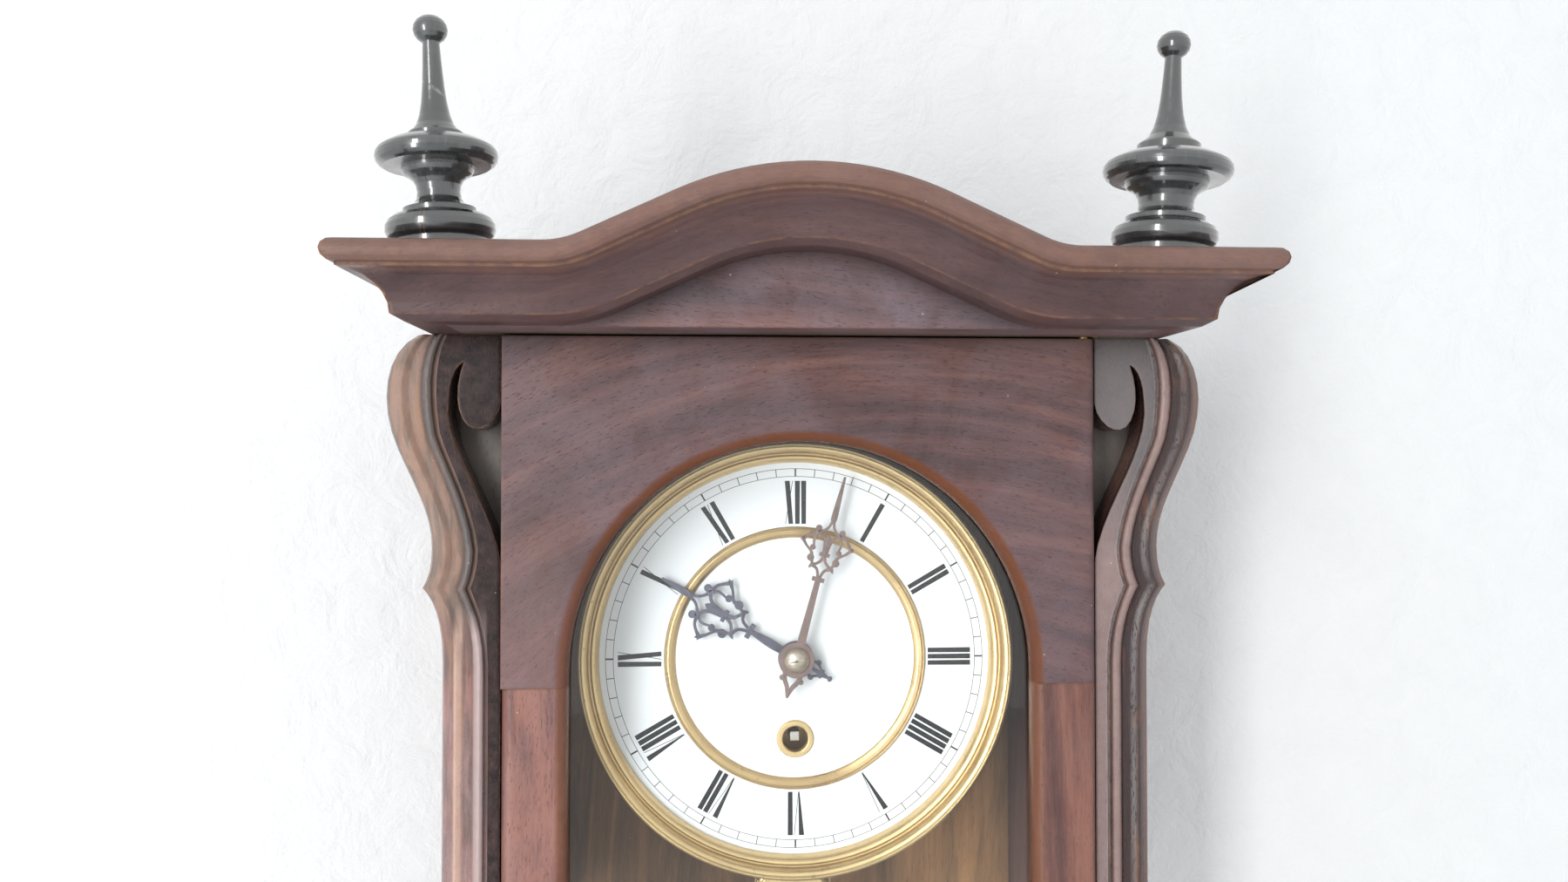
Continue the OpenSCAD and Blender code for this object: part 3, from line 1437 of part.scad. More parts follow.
// Anchor with two nibs just clear of the escape wheel, and the crutch on its arbor
module pallets() {
    reach = (escape_r + 1) / sqrt(2);
    color("#8a8f94") {
        rod(0, pallet_z, arbor_r, crutch_d0, front_plate_d1);
        translate([0, 0, escape_z]) slab(escape_d0 - 0.4, escape_d0 + 1.6) {
            translate([0, pallet_z - escape_z]) circle(r = 3.2, $fn = 32);
            for (side = [-1, 1])
                scale([side, 1]) polygon([[0, pallet_z - escape_z + 2.6],
                    [reach + 3.4, reach + 4.6], [reach + 4, reach + 2.4], [reach + 0.8, reach - 0.7],
                    [reach - 0.7, reach + 0.8], [reach + 1.2, reach + 2.9],
                    [0, pallet_z - escape_z - 1.8]]);
        }
        translate([0, 0, pallet_z]) slab(crutch_d0, crutch_d0 + crutch_t) {
            circle(r = 3, $fn = 32);
            translate([-1.5, -crutch_len]) square([3, crutch_len]);
        }
        rod(0, pallet_z - crutch_len + 2, 1, pendulum_d - rod_t / 2 - 2, crutch_d0 + 0.2);
    }
}

// Pendulum
module pendulum_rod() {
    slot_z = pallet_z - crutch_len + 2;
    color("#3a2c24") difference() {
        block(-rod_w / 2, rod_w / 2, pendulum_d - rod_t / 2, pendulum_d + rod_t / 2, rod_foot, rod_top);
        block(-1 - running, 1 + running, 0, case_d, slot_z - 6, slot_z + 6);
        rod_up(0, pendulum_d, screw_r, rod_foot - cut, rod_foot + 14);
        block(-spring_t / 2, spring_t / 2, pendulum_d - 6, pendulum_d + 6, rod_top - 4, rod_top + cut);
    }
}

spring_t = 0.3;

module suspension_spring() {
    color("#9aa0a6") {
        block(-spring_t / 2, spring_t / 2, pendulum_d - 4, pendulum_d + 4, rod_top - 4, cock_z1 + 1);
        block(-3, 3, pendulum_d - rod_t / 2, pendulum_d + rod_t / 2, rod_top, rod_top + 6);
        block(-3.5, 3.5, pendulum_d - 5, pendulum_d + 5, cock_z1 + 0.3, cock_z1 + 5);
    }
}

module bob() {
    lens_r = (bob_r * bob_r + pow(bob_t / 2 - 1.5, 2)) / (bob_t - 3);
    lens_a = asin(bob_r / lens_r);
    rise = bob_t / 2 - lens_r;
    color("#c9a24b") difference() {
        spun(0, bob_z, 96)
            polygon([for (p = concat(
                arc(0, rise, lens_r, 90 - lens_a, 90, 10),
                [for (q = arc(0, -rise, lens_r, -90, -90 + lens_a, 10)) q]))
                    [max(p[0], 0), pendulum_d + p[1]]]);
        block(-rod_w / 2 - 0.3, rod_w / 2 + 0.3, pendulum_d - rod_t / 2 - 0.3,
            pendulum_d + rod_t / 2 + 0.3, bob_z - bob_r - cut, bob_z + bob_r + cut);
    }
}

module rating_screw() {
    color("#8a8f94") {
        rod_up(0, pendulum_d, screw_r, screw_foot + 3, rod_foot + 14);
        translate([0, -pendulum_d, screw_foot])
            cylinder(h = 3, r1 = 0.4, r2 = screw_r, $fn = 32);
    }
}

module rating_nut() {
    color("#c9a24b") difference() {
        rotate_nut();
        rod_up(0, pendulum_d, screw_r + running, nut_top - nut_t - cut, nut_top + cut);
    }
}

module rotate_nut() {
    translate([0, -pendulum_d, nut_top - nut_t])
        rotate_extrude($fn = 48)
            polygon([[0, 0], [nut_r - 1, 0], [nut_r, 1], [nut_r, nut_t - 3], [nut_r - 1, nut_t - 2],
                [4, nut_t - 1.4], [3.6, nut_t], [0, nut_t]]);
}

// Weight, pulley and line
module weight() {
    color("#d2b05a") translate([0, -line_d, weight_top - weight_len])
        rotate_extrude($fn = round_n)
            polygon([[0, 2], [weight_r - 5, 2], [weight_r - 4, 0], [weight_r - 1, 0], [weight_r, 1],
                [weight_r, weight_len - 1], [weight_r - 1, weight_len], [weight_r - 4, weight_len],
                [weight_r - 5, weight_len - 2], [4, weight_len - 2], [3, weight_len + 3],
                [1.4, weight_len + 4], [1.4, weight_len + 6], [0, weight_len + 6]]);
}

module pulley() {
    rim = pulley_r + pulley_rim;
    color("#c9a24b") difference() {
        spun(0, pulley_z, round_n)
            polygon(concat([[0, line_d - pulley_t / 2], [rim - 0.4, line_d - pulley_t / 2]],
                arc(rim, line_d, groove_r, 270, 90, 8),
                [[rim - 0.4, line_d + pulley_t / 2], [0, line_d + pulley_t / 2]]));
        rod(0, pulley_z, 1.5 + running, line_d - pulley_t, line_d + pulley_t);
        for (i = [0:4])
            translate([0, 0, pulley_z]) rotate([0, i * 72, 0])
                rod(pulley_r * 0.52, 0, pulley_r * 0.2, line_d - pulley_t, line_d + pulley_t);
    }
}

module stirrup() {
    cheek_d = pulley_t / 2 + 0.6;
    cheek_t = 1.4;
    foot = weight_top + 4;
    color("#b9913f") {
        rod(0, pulley_z, 1.5, line_d - cheek_d - cheek_t - 1, line_d + cheek_d + cheek_t + 1);
        for (d = [line_d - cheek_d - cheek_t, line_d + cheek_d])
            slab(d, d + cheek_t) {
                translate([0, pulley_z]) circle(r = 4, $fn = 32);
                translate([-3, foot]) square([6, pulley_z - foot]);
            }
        difference() {
            block(-3, 3, line_d - cheek_d - cheek_t, line_d + cheek_d + cheek_t, foot, foot + 2);
            rod_up(0, line_d, 1.4, foot - cut, foot + 3);
        }
    }
}

// A straight round bar between two points given as x and z, at one depth
module strand(x0, z0, x1, z1, d, r) {
    length = norm([x1 - x0, z1 - z0]);
    translate([x0, -d, z0])
        rotate([0, atan2(x1 - x0, z1 - z0), 0])
            cylinder(h = length, r = r, $fn = 16);
}

module gut_line() {
    color("#d9c9a0") {
        strand(-line_r, winding_z - gut_d, -pulley_r, pulley_z, line_d, gut_d / 2);
        strand(pulley_r, winding_z - gut_d, pulley_r, pulley_z, line_d, gut_d / 2);
    }
}

module gut_loop() {
    color("#d9c9a0") translate([0, -line_d, pulley_z])
        rotate([90, 0, 0])
            rotate([0, 0, 180])
                rotate_extrude(angle = 180, $fn = round_n)
                    translate([pulley_r, 0]) circle(r = gut_d / 2, $fn = 16);
}

backboard();
side_frames();
side_glasses();
case_top();
bottom_board();
cornice_front();
cornice_returns();
tympanum();
head_blocks();
left_pilaster();
right_pilaster();
finials();
base_moulding();
apron();
turned_drops();
hanger_plate();
case_screws();
movement_bracket();
beat_scale();
back_plate();
front_plate();
plate_pillars();
dial_plate();
chapter_ring();
centre_disc();
inner_ring();
bezel();
winding_grommet();
hinge_sockets();
door_head();
door_left_stile();
door_right_stile();
door_bottom_rail();
door_glass();
hinge_pins();
latch();
great_wheel();
click();
winding_drum();
gut_winding();
centre_wheel();
cannon_pinion();
minute_hand();
hand_nut();
minute_wheel();
hour_wheel();
hour_hand();
third_wheel();
escape_wheel();
pallets();
pendulum_rod();
suspension_spring();
bob();
rating_nut();
rating_screw();
weight();
pulley();
stirrup();
gut_line();
gut_loop();
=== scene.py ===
import json
import math

import bmesh
import bpy
from bpy.props import FloatProperty, FloatVectorProperty, IntProperty, PointerProperty
from mathutils import Matrix, Vector


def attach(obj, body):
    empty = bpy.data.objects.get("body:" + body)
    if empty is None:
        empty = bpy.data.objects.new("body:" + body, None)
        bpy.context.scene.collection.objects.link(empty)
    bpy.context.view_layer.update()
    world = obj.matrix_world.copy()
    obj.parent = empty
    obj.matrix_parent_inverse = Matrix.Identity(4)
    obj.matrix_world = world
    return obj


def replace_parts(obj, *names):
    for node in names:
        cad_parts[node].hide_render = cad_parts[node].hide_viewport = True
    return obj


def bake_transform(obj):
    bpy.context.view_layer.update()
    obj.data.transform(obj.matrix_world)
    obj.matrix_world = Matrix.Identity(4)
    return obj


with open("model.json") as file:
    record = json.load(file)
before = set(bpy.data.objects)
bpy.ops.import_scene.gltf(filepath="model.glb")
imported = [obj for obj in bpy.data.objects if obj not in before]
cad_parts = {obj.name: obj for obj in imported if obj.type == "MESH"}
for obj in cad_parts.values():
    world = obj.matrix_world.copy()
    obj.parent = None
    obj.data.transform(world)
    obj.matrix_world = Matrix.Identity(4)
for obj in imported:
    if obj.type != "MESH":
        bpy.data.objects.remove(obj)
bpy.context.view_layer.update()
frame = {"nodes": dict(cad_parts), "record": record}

bl_info = {
    "name": "Regulator wall clock",
    "version": (1, 0, 0),
    "blender": (4, 5, 0),
    "location": "View3D > Sidebar > Clock",
    "description": "Finishes, dial marks, gut line and stage of a regulator wall clock",
    "category": "Object",
}

# Places that the construction fixes, in metres
DIAL_CENTRE = Vector((0.0, 0.0, -0.150))
ENAMEL_FRONT = 0.104
MILLED_BAND = (0.0544, 0.0556)
MILLED_TEETH = 600
HUB_RADIUS = 0.0075
WINDING_CENTRE = Vector((0.0, 0.0, -0.1845))
ARBOR_RADIUS = 0.0031
GUT_DEPTH = 0.0792
GUT_COIL_RADIUS = 0.00985
GUT_COIL_PITCH = 0.001638
GUT_COIL_TURNS = 10.5
GUT_COIL_STEP = 0.0005
PULLEY_CENTRE = Vector((0.0, 0.0, -0.265))
PULLEY_RADIUS = 0.017
BIGHT_STEPS = 130
CORNICE_NOSE = (0.2005, 0.25)
CORNICE_COVE = (0.176, 0.196)
SUNK_FLAT_DEPTH = 0.144
SCROLL_LEVELS = (-0.128, 0.1)
ARCH_MOULDING = (0.0940, 0.0958)

# The left finial's crack and the old mend above it
CRACK_ACROSS = -0.1345
CRACK_TOP = (0.021, 0.0235)
CRACK_BACK = (-0.185, -0.183)
GLUE_LEVEL = 0.0665

# The gut's section: its points, and how deep the furrows between its strands are
GUT_SECTION_POINTS = 12
GUT_FURROW = 0.14

# What the wood's figure sweeps round: a centre across and in height, and a radius
CORNICE_SWEEP = (0.0, -0.32, 0.33)
HEAD_SWEEP = (0.01, -0.330, 0.26)

# Widths and lengths of the wood's figure, streaks, fibres and open pores
GRAIN_SIZES = ((0.024, 0.20), (0.0042, 0.06), (0.0008, 0.010), (0.00042, 0.0026))

# The lamp, wall and floor that the clock is shown with
LAMP_AIM = Vector((0, -0.1, -0.25))
LAMP_FROM_AIM = Vector((-1.24, -2.05, 0.30))
LAMP_SIZE = (0.4, 2.2)
WALL_PLACE = Matrix.Translation((0, 0.0006, 0.4)) @ Matrix.Rotation(math.radians(90), 4, "X")
FLOOR_PLACE = Matrix.Translation((0, -1.5, -1.06))
GROUND_HALF = 3.0

# Marks on the enamel: their paint starts just under its surface
WHOLE_NUMERALS = ("XII", "I", "II", "III", "IIII", "V", "VI", "VII", "VIII", "IX", "X", "XI")
NUMERAL_WIDTHS = {"I": 0.00268, "V": 0.0044, "X": 0.0044}
HOUR_MARK_HALF = 0.00034
PAINT_BACK = -0.00002
RING_STEPS = 180

# Half of a hand's pierced ornament, across and along from its foot in millimetres, with the
# width of the line at each place; it is mirrored and then scaled to each hand
FRET_LINES = (
    (((0.5, 0.2), 1.2), ((1.1, 3.0), 1.1), ((2.4, 5.2), 1.1), ((5.2, 6.5), 1.5)),
    (((3.9, 6.5), 0.9), ((5.2, 6.5), 1.7), ((6.6, 4.7), 0.4)),
    (((0.2, 12.2), 1.3), ((1.15, 9.4), 1.2), ((3.2, 7.5), 1.1), ((5.2, 6.7), 1.2)),
    (((5.1, 6.6), 1.2), ((5.7, 8.0), 1.1), ((6.5, 10.2), 1.6), ((7.2, 12.5), 1.2),
     ((8.8, 13.8), 1.0), ((10.9, 15.3), 1.0), ((12.5, 16.9), 1.2), ((14.6, 17.6), 0.3)),
    (((14.1, 19.0), 0.3), ((13.0, 17.8), 1.5), ((11.5, 19.7), 1.1), ((9.3, 21.8), 1.1),
     ((6.2, 22.8), 1.5)),
    (((6.3, 24.7), 1.4), ((6.0, 22.9), 1.9), ((3.6, 24.1), 1.1), ((1.5, 26.3), 1.0),
     ((0.3, 30.0), 1.2)),
    (((6.1, 22.8), 1.6), ((3.5, 21.7), 1.2), ((1.7, 19.4), 1.3), ((0.9, 16.2), 1.5),
     ((0.5, 12.8), 1.6)),
    (((5.6, 22.3), 1.0), ((7.2, 20.4), 0.9), ((7.3, 18.1), 0.9), ((6.9, 16.4), 0.8),
     ((7.1, 14.9), 1.2), ((8.2, 13.4), 1.0)),
    (((-0.1, 22.2), 0.5), ((0.5, 20.4), 1.5), ((0.2, 18.6), 0.9), ((0.6, 16.9), 1.8),
     ((0.3, 14.8), 1.2), ((0.1, 12.6), 1.0)),
    (((-0.2, 12.6), 1.5), ((2.7, 12.6), 1.5)),
    (((-0.2, 0.1), 1.8), ((3.3, 0.1), 1.8)),
)
FRET_BALLS = (((6.4, 24.8), 1.65), ((7.1, 14.9), 1.5), ((6.9, 9.8), 1.9))
FRET_HALF, FRET_LENGTH = 13.7, 29.5  # its half width and length as listed

# Each hand: its angle, how far its back and front stand over the enamel, its bore, and where
# its ornament starts with its length, half width and line width; then its other lines and
# rounds, which are in millimetres as above
HOUR_HAND = {
    "angle": math.radians(301.25), "lifts": (0.0026, 0.0035), "bore": 0.004,
    "foot": 0.0225, "length": 29.5, "half": 13.7, "width": 1.18,
    "plain": ((((0, 5.5), 3.0), ((0, 13), 3.7), ((0, 22.6), 1.8)),
              (((0, 51.4), 1.6), ((0, 55.0), 2.9), ((0, 66.0), 1.0)),
              (((0, -7.0), 1.3), ((0, -12.0), 1.9), ((0, -16.8), 1.1)),
              (((-1.9, -12.7), 1.1), ((1.9, -12.7), 1.1))),
    "mirrored": ((((2.7, -6.7), 1.2), ((3.5, -9.2), 1.1)),
                 (((3.4, -9.4), 1.0), ((1.9, -10.9), 1.0), ((0.2, -14.2), 1.0))),
    "balls": (((3.5, -9.3), 1.15), ((0.3, -16.8), 0.9)),
}
MINUTE_HAND = {
    "angle": math.radians(15.0), "lifts": (0.0070, 0.0079), "bore": 0.003,
    "foot": 0.0348, "length": 25.25, "half": 10.9, "width": 1.04,
    "plain": ((((0, 5.5), 3.6), ((0, 34.9), 2.3)),
              (((0, 59.6), 1.6), ((0, 62.4), 2.6), ((0, 79.4), 0.9))),
    "mirrored": ((((3.5, -6.0), 1.8), ((2.7, -9.0), 1.9), ((1.0, -12.0), 1.8),
                  ((0.1, -16.2), 0.7)),),
    "balls": (((4.1, -8.4), 1.1),),
}
# How much lower each line's front lies than the one before it, so that no two share a plane
FRONT_STEP = 0.000002
LEAST_LINE = 0.0002
STEPS_TO_KNOT = 7
BALL_SIDES = 28

# What every colour property has
COLOUR = {"subtype": "COLOR", "size": 3, "min": 0, "max": 1}


class ClockWood(bpy.types.PropertyGroup):
    """Colours of the polished wood and of its wear"""

    deep: FloatVectorProperty(name="Deep grain", description="Darkest grain of the polished wood",
                              default=(0.045, 0.018, 0.016), **COLOUR)
    body: FloatVectorProperty(name="Body", description="Main red brown of the polished wood",
                              default=(0.135, 0.053, 0.042), **COLOUR)
    light: FloatVectorProperty(name="Light grain", description="Lighter streaks of the wood",
                               default=(0.240, 0.105, 0.075), **COLOUR)
    bloom: FloatVectorProperty(name="Bloom", description="Lilac grey haze on the old polish",
                               default=(0.235, 0.175, 0.190), **COLOUR)
    worn: FloatVectorProperty(name="Worn edge", description="Orange brown of rubbed edges",
                              default=(0.400, 0.185, 0.085), **COLOUR)
    bare: FloatVectorProperty(name="Inside wood", description="Olive brown of the bare inside",
                              default=(0.145, 0.092, 0.050), **COLOUR)
    edge: FloatProperty(name="Edge rubbing", description="How far wear reaches from an edge",
                        unit="LENGTH", min=0.0, max=0.01, default=0.0016)


class ClockMetal(bpy.types.PropertyGroup):
    """Colours of the metal parts"""

    brass: FloatVectorProperty(name="Brass", description="Rubbed bright brass",
                               default=(0.86, 0.66, 0.35), **COLOUR)
    tarnish: FloatVectorProperty(name="Tarnish", description="Brass gone brown",
                                 default=(0.50, 0.33, 0.17), **COLOUR)
    steel: FloatVectorProperty(name="Steel", description="Bare steel",
                               default=(0.50, 0.49, 0.47), **COLOUR)
    rust: FloatVectorProperty(name="Browned steel", description="Brown skin of the minute hand",
                              default=(0.160, 0.113, 0.106), **COLOUR)
    blued: FloatVectorProperty(name="Blued steel", description="Slate blue of the hour hand",
                               default=(0.085, 0.085, 0.115), **COLOUR)
    iron: FloatVectorProperty(name="Iron", description="Japanned iron of the bracket",
                              default=(0.035, 0.034, 0.036), **COLOUR)


class ClockDial(bpy.types.PropertyGroup):
    """Sizes and colours of the marks on the enamel"""

    enamel: FloatVectorProperty(name="Enamel", description="Cold white of the enamel",
                                default=(0.86, 0.89, 0.94), **COLOUR)
    ink: FloatVectorProperty(name="Ink", description="Black of the fired marks",
                             default=(0.010, 0.011, 0.013), **COLOUR)
    foot: FloatProperty(name="Numeral foot", description="Radius where the numerals start",
                        unit="LENGTH", min=0.05, max=0.07, default=0.0567)
    head: FloatProperty(name="Numeral head", description="Radius where the numerals end",
                        unit="LENGTH", min=0.06, max=0.08, default=0.0750)
    stroke: FloatProperty(name="Thick stroke", description="Width of a thick stroke halfway up",
                          unit="LENGTH", min=0.0005, max=0.004, default=0.0020)
    hairline: FloatProperty(name="Hairline", description="Width of a thin stroke",
                            unit="LENGTH", min=0.0001, max=0.001, default=0.00026)
    track_inner: FloatProperty(name="Track inside", description="Radius of the track's inner line",
                               unit="LENGTH", min=0.06, max=0.083, default=0.0769)
    track_outer: FloatProperty(name="Track outside", description="Radius of the track's outer line",
                               unit="LENGTH", min=0.06, max=0.084, default=0.0802)
    paint: FloatProperty(name="Paint", description="Height of the fired paint",
                         unit="LENGTH", min=0.00001, max=0.0002, default=0.00004)


class ClockGut(bpy.types.PropertyGroup):
    """Size and colour of the gut line"""

    thickness: FloatProperty(name="Thickness", description="Thickness of the gut line",
                             unit="LENGTH", min=0.0008, max=0.0014, default=0.0011)
    lay: FloatProperty(name="Lay", description="Length of one twist of the gut",
                       unit="LENGTH", min=0.002, max=0.02, default=0.0048)
    strands: IntProperty(name="Strands", description="Strands that show in the twist",
                         min=2, max=5, default=3)
    colour: FloatVectorProperty(name="Colour", description="Amber of the dried gut",
                                default=(0.55, 0.40, 0.19), **COLOUR)


class ClockStage(bpy.types.PropertyGroup):
    """Camera, lamps and backdrop"""

    eye: FloatVectorProperty(name="Camera place", description="Where the camera stands",
                             subtype="TRANSLATION", unit="LENGTH", size=3,
                             default=(-0.0348, -0.6164, -0.0676))
    turn: FloatVectorProperty(name="Camera turn", description="How the camera is turned",
                              subtype="EULER", unit="ROTATION", size=3,
                              default=(math.radians(91.07), 0.0, math.radians(-3.35)))
    lens: FloatProperty(name="Lens", description="Focal length in millimetres on a 36 mm sensor",
                        min=15, max=100, default=27.62)
    key: FloatProperty(name="Key lamp", description="Power of the tall lamp on the left",
                       unit="POWER", min=0, max=500, default=30)
    fill: FloatProperty(name="Fill", description="Level of the light from all round",
                        min=0, max=2, default=0.74)
    plaster: FloatVectorProperty(name="Plaster", description="White of the backdrop and floor",
                                 default=(0.93, 0.94, 0.94), **COLOUR)


# ---------------------------------------------------------------- finishes


def shade(colour, share):
    """A colour made darker or lighter"""
    return tuple(v * share for v in colour)


class Nodes:
    """The nodes of one tree, joined as they are made"""

    def __init__(self, tree):
        self.nodes, self.links = tree.nodes, tree.links

    def add(self, kind, feeds=None, **settings):
        node = self.nodes.new(kind)
        for setting, value in settings.items():
            setattr(node, setting, value)
        for socket, value in (feeds or {}).items():
            self.feed(node.inputs[socket], value)
        return node

    def feed(self, socket, value):
        if isinstance(value, bpy.types.NodeSocket):
            self.links.new(value, socket)
        elif socket.type == "RGBA":
            socket.default_value = (*value[:3], 1.0)
        else:
            socket.default_value = value

    def sum(self, operation, *values):
        return self.add("ShaderNodeMath", dict(enumerate(values)), operation=operation).outputs[0]

    def plus(self, first, *others):
        for value in others:
            first = self.sum("ADD", first, value)
        return first

    def minus(self, first, second):
        return self.sum("SUBTRACT", first, second)

    def times(self, first, *others):
        for value in others:
            first = self.sum("MULTIPLY", first, value)
        return first

    def blend(self, share, first, second):
        node = self.add("ShaderNodeMix", data_type="RGBA")
        for place, value in ((0, share), (6, first), (7, second)):
            self.feed(node.inputs[place], value)
        return node.outputs[2]


class Finish(Nodes):
    """One material"""

    def __init__(self, name, **flat):
        self.material = bpy.data.materials.new(name)
        self.material.use_nodes = True
        super().__init__(self.material.node_tree)
        self.shader = self.nodes["Principled BSDF"]
        self.output = self.nodes["Material Output"]
        self.where = self.add("ShaderNodeTexCoord").outputs["Object"]
        self.set(**flat)

    def set(self, **values):
        for socket, value in values.items():
            self.feed(self.shader.inputs[socket.replace("_", " ")], value)
        return self

    def parts(self, vector=None):
        """The three parts of a vector, or the surface's places across, in depth and in height"""
        return self.add("ShaderNodeSeparateXYZ", {0: vector or self.where}).outputs

    def facing(self):
        """The normal's part in depth: -1 where the surface looks straight out from the wall"""
        return self.parts(self.add("ShaderNodeNewGeometry").outputs["Normal"])[1]

    def reach(self, across, along):
        """How far a point is from a centre"""
        return self.sum("SQRT", self.plus(self.times(across, across), self.times(along, along)))

    def space(self, size, turn=(0, 0, 0), centre=(0, 0, 0), source=None):
        """Coordinates in which one unit is size metres along each turned axis"""
        return self.add("ShaderNodeMapping", {
            "Vector": source or self.where, "Location": centre, "Rotation": turn,
            "Scale": size}, vector_type="TEXTURE").outputs[0]

    def noise(self, vector, scale=1.0, detail=2.0, rough=0.5, distort=0.0):
        return self.add("ShaderNodeTexNoise", {
            "Vector": vector, "Scale": scale, "Detail": detail, "Roughness": rough,
            "Distortion": distort}).outputs[0]

    def fit(self, value, low, high, out_low=0.0, out_high=1.0):
        return self.add("ShaderNodeMapRange", {
            "Value": value, "From Min": low, "From Max": high, "To Min": out_low,
            "To Max": out_high}, clamp=True).outputs[0]

    def drop(self, value, low, high):
        """1 up to low, and falling to 0 at high"""
        return self.fit(value, low, high, 1.0, 0.0)

    def stain(self, colour, tone, *shares):
        """Lays a tone over a colour, by all the shares multiplied"""
        return self.blend(self.times(*shares), colour, tone)

    def steps(self, value, *stops):
        node = self.add("ShaderNodeValToRGB", {"Fac": value})
        marks = node.color_ramp.elements
        while len(marks) < len(stops):
            marks.new(0.5)
        for mark, (place, colour) in zip(marks, stops):
            mark.position, mark.color = place, (*colour, 1.0)
        return node.outputs[0]

    def edges(self, radius, low=0.02, high=0.25):
        """How near an outer or inner edge the surface is, with the softened normal"""
        soft = self.add("ShaderNodeBevel", {"Radius": radius}, samples=4).outputs[0]
        flat = self.add("ShaderNodeNewGeometry").outputs["Normal"]
        along = self.add("ShaderNodeVectorMath", {0: soft, 1: flat},
                         operation="DOT_PRODUCT").outputs["Value"]
        return self.fit(self.minus(1.0, along), low, high), soft

    def corners(self, reach, low=0.25, high=0.95):
        """How deep in a corner or quirk the surface is"""
        shadow = self.add("ShaderNodeAmbientOcclusion", {"Distance": reach}, samples=4)
        return self.drop(shadow.outputs["AO"], low, high)

    def relief(self, height, depth, normal=None, strength=1.0):
        feeds = {"Height": height, "Distance": depth, "Strength": strength}
        if normal is not None:
            feeds["Normal"] = normal
        return self.add("ShaderNodeBump", feeds).outputs[0]


def wood(name, along="z", turn=0.0, bow=None, shift=0.0, tint=(1.0, 1.0, 1.0), bloom=0.45,
         bands=1.0, light=0.0, gloss=0.40, rub=1.0, inside=False, zones=(), lean=0.0,
         wear_and_highlight_colour=None, matt=0.0):
    """Old polished wood: banded figure, fibres, open pores, hazy bloom, rubbed edges and zones"""
    look = bpy.context.scene.clock_wood
    f = Finish(name)
    base, place = f.where, (shift, shift * 0.7, shift * 1.3)
    if bow:
        # grain that sweeps round a point, so that the figure follows a head or an arch
        centre_x, centre_z, radius = bow
        part = f.parts(f.space((1, 1, 1), centre=(centre_x, 0, centre_z)))
        angle = f.sum("ARCTAN2", part[0], part[2])
        base = f.add("ShaderNodeCombineXYZ", {
            0: f.reach(part[0], part[2]), 1: part[1], 2: f.times(angle, radius)}).outputs[0]
    wide, middle, fine, open_pore = (
        f.space([length if axis == along else width for axis in "xyz"], (0, turn, 0), place, base)
        for width, length in GRAIN_SIZES)
    figure = f.noise(wide, 1.0, 5.0, 0.58, 1.5)
    streak = f.noise(middle, 1.0, 3.0, 0.6, 0.4)
    fibre = f.noise(fine, 1.0, 3.0, 0.65)
    pore = f.fit(f.noise(open_pore, 1.0, 2.0, 0.5), 0.61, 0.72)
    cloud = f.noise(f.space((0.045, 0.045, 0.07), (0.3, 0.2, 0), place), 1.0, 6.0, 0.66, 0.6)
    grit = f.noise(f.where, 1500.0, 2.0, 0.7)
    tone = f.plus(f.times(figure, 0.70 * bands), f.times(streak, 0.26), f.times(fibre, 0.24))
    middle_tone = 0.35 * bands + 0.25
    if inside:
        colours = (shade(look.bare, 0.42), look.bare, shade(look.bare, 1.55), (0.18, 0.165, 0.14))
    else:
        colours = (look.deep, look.body, look.light, look.bloom)
    deep, body, pale, haze_colour = (tuple(v * t for v, t in zip(colour, tint))
                                     for colour in colours)
    colour = f.steps(f.fit(tone, middle_tone - 0.17, middle_tone + 0.19 - light * 0.1),
                     (0.0, deep), (0.30, tuple(0.55 * a + 0.45 * b for a, b in zip(deep, body))),
                     (0.55, body), (1.0, pale))
    haze = f.times(f.fit(cloud, 0.36, 0.62, 0.20, 1.0), f.fit(grit, 0.25, 0.75, 0.75, 1.05))
    colour = f.stain(colour, haze_colour, haze, bloom)
    colour = f.stain(colour, shade(deep, 0.45), pore, 0.45)
    ragged = f.fit(f.noise(f.space((0.006, 0.006, 0.006)), 1.0, 4.0, 0.7), 0.38, 0.62)
    soft_ragged = f.fit(ragged, 0.0, 1.0, 0.80, 1.0)
    masks = [zone(f) for zone, _, _ in zones]
    for mask, (_, zone_tone, share) in zip(masks, zones):
        colour = f.stain(colour, zone_tone, mask, soft_ragged, share)
    near, soft = f.edges(look.edge, 0.03, 0.30)
    worn = f.times(near, ragged, 0.85 * rub)
    # rubbed edges; the colour given for the pilasters is lighter, a painted highlight on their
    # arrises as well as wear
    colour = f.blend(worn, colour, wear_and_highlight_colour or look.worn)
    # painted shade: the wood is darker in corners and quirks, by how occluded they are
    colour = f.stain(colour, shade(deep, 0.30), f.corners(0.012, 0.34, 0.90), 0.75)
    # rare pale specks
    dots = f.add("ShaderNodeTexVoronoi", {"Vector": f.where, "Scale": 210.0}).outputs
    some = f.fit(f.add("ShaderNodeSeparateColor", {0: dots["Color"]}).outputs[0], 0.935, 0.945)
    colour = f.stain(colour, (0.62, 0.58, 0.55), f.drop(dots["Distance"], 0.045, 0.075), some,
                     0.75)
    if lean:
        # a flat that was planed at a slant: its shading leans with the first zone
        slant = f.add("ShaderNodeCombineXYZ", {0: f.times(masks[0], lean)}).outputs[0]
        leant = f.add("ShaderNodeVectorMath", {0: soft, 1: slant}, operation="ADD").outputs[0]
        soft = f.add("ShaderNodeVectorMath", {0: leant}, operation="NORMALIZE").outputs[0]
    rough = f.plus(f.fit(cloud, 0.3, 0.7, gloss - 0.06, gloss + 0.10),
                   f.times(f.plus(pore, worn), 0.14))
    height = f.minus(f.plus(f.times(fibre, 0.35), f.times(streak, 0.25)), pore)
    f.set(Base_Color=colour, Roughness=rough, Specular_IOR_Level=0.5,
          Normal=f.relief(height, 0.00010, soft, 0.8))
    if matt:
        f.set(Specular_IOR_Level=f.fit(masks[0], 0.0, 1.0, 0.5, 0.5 * (1.0 - matt)))
    return f.material


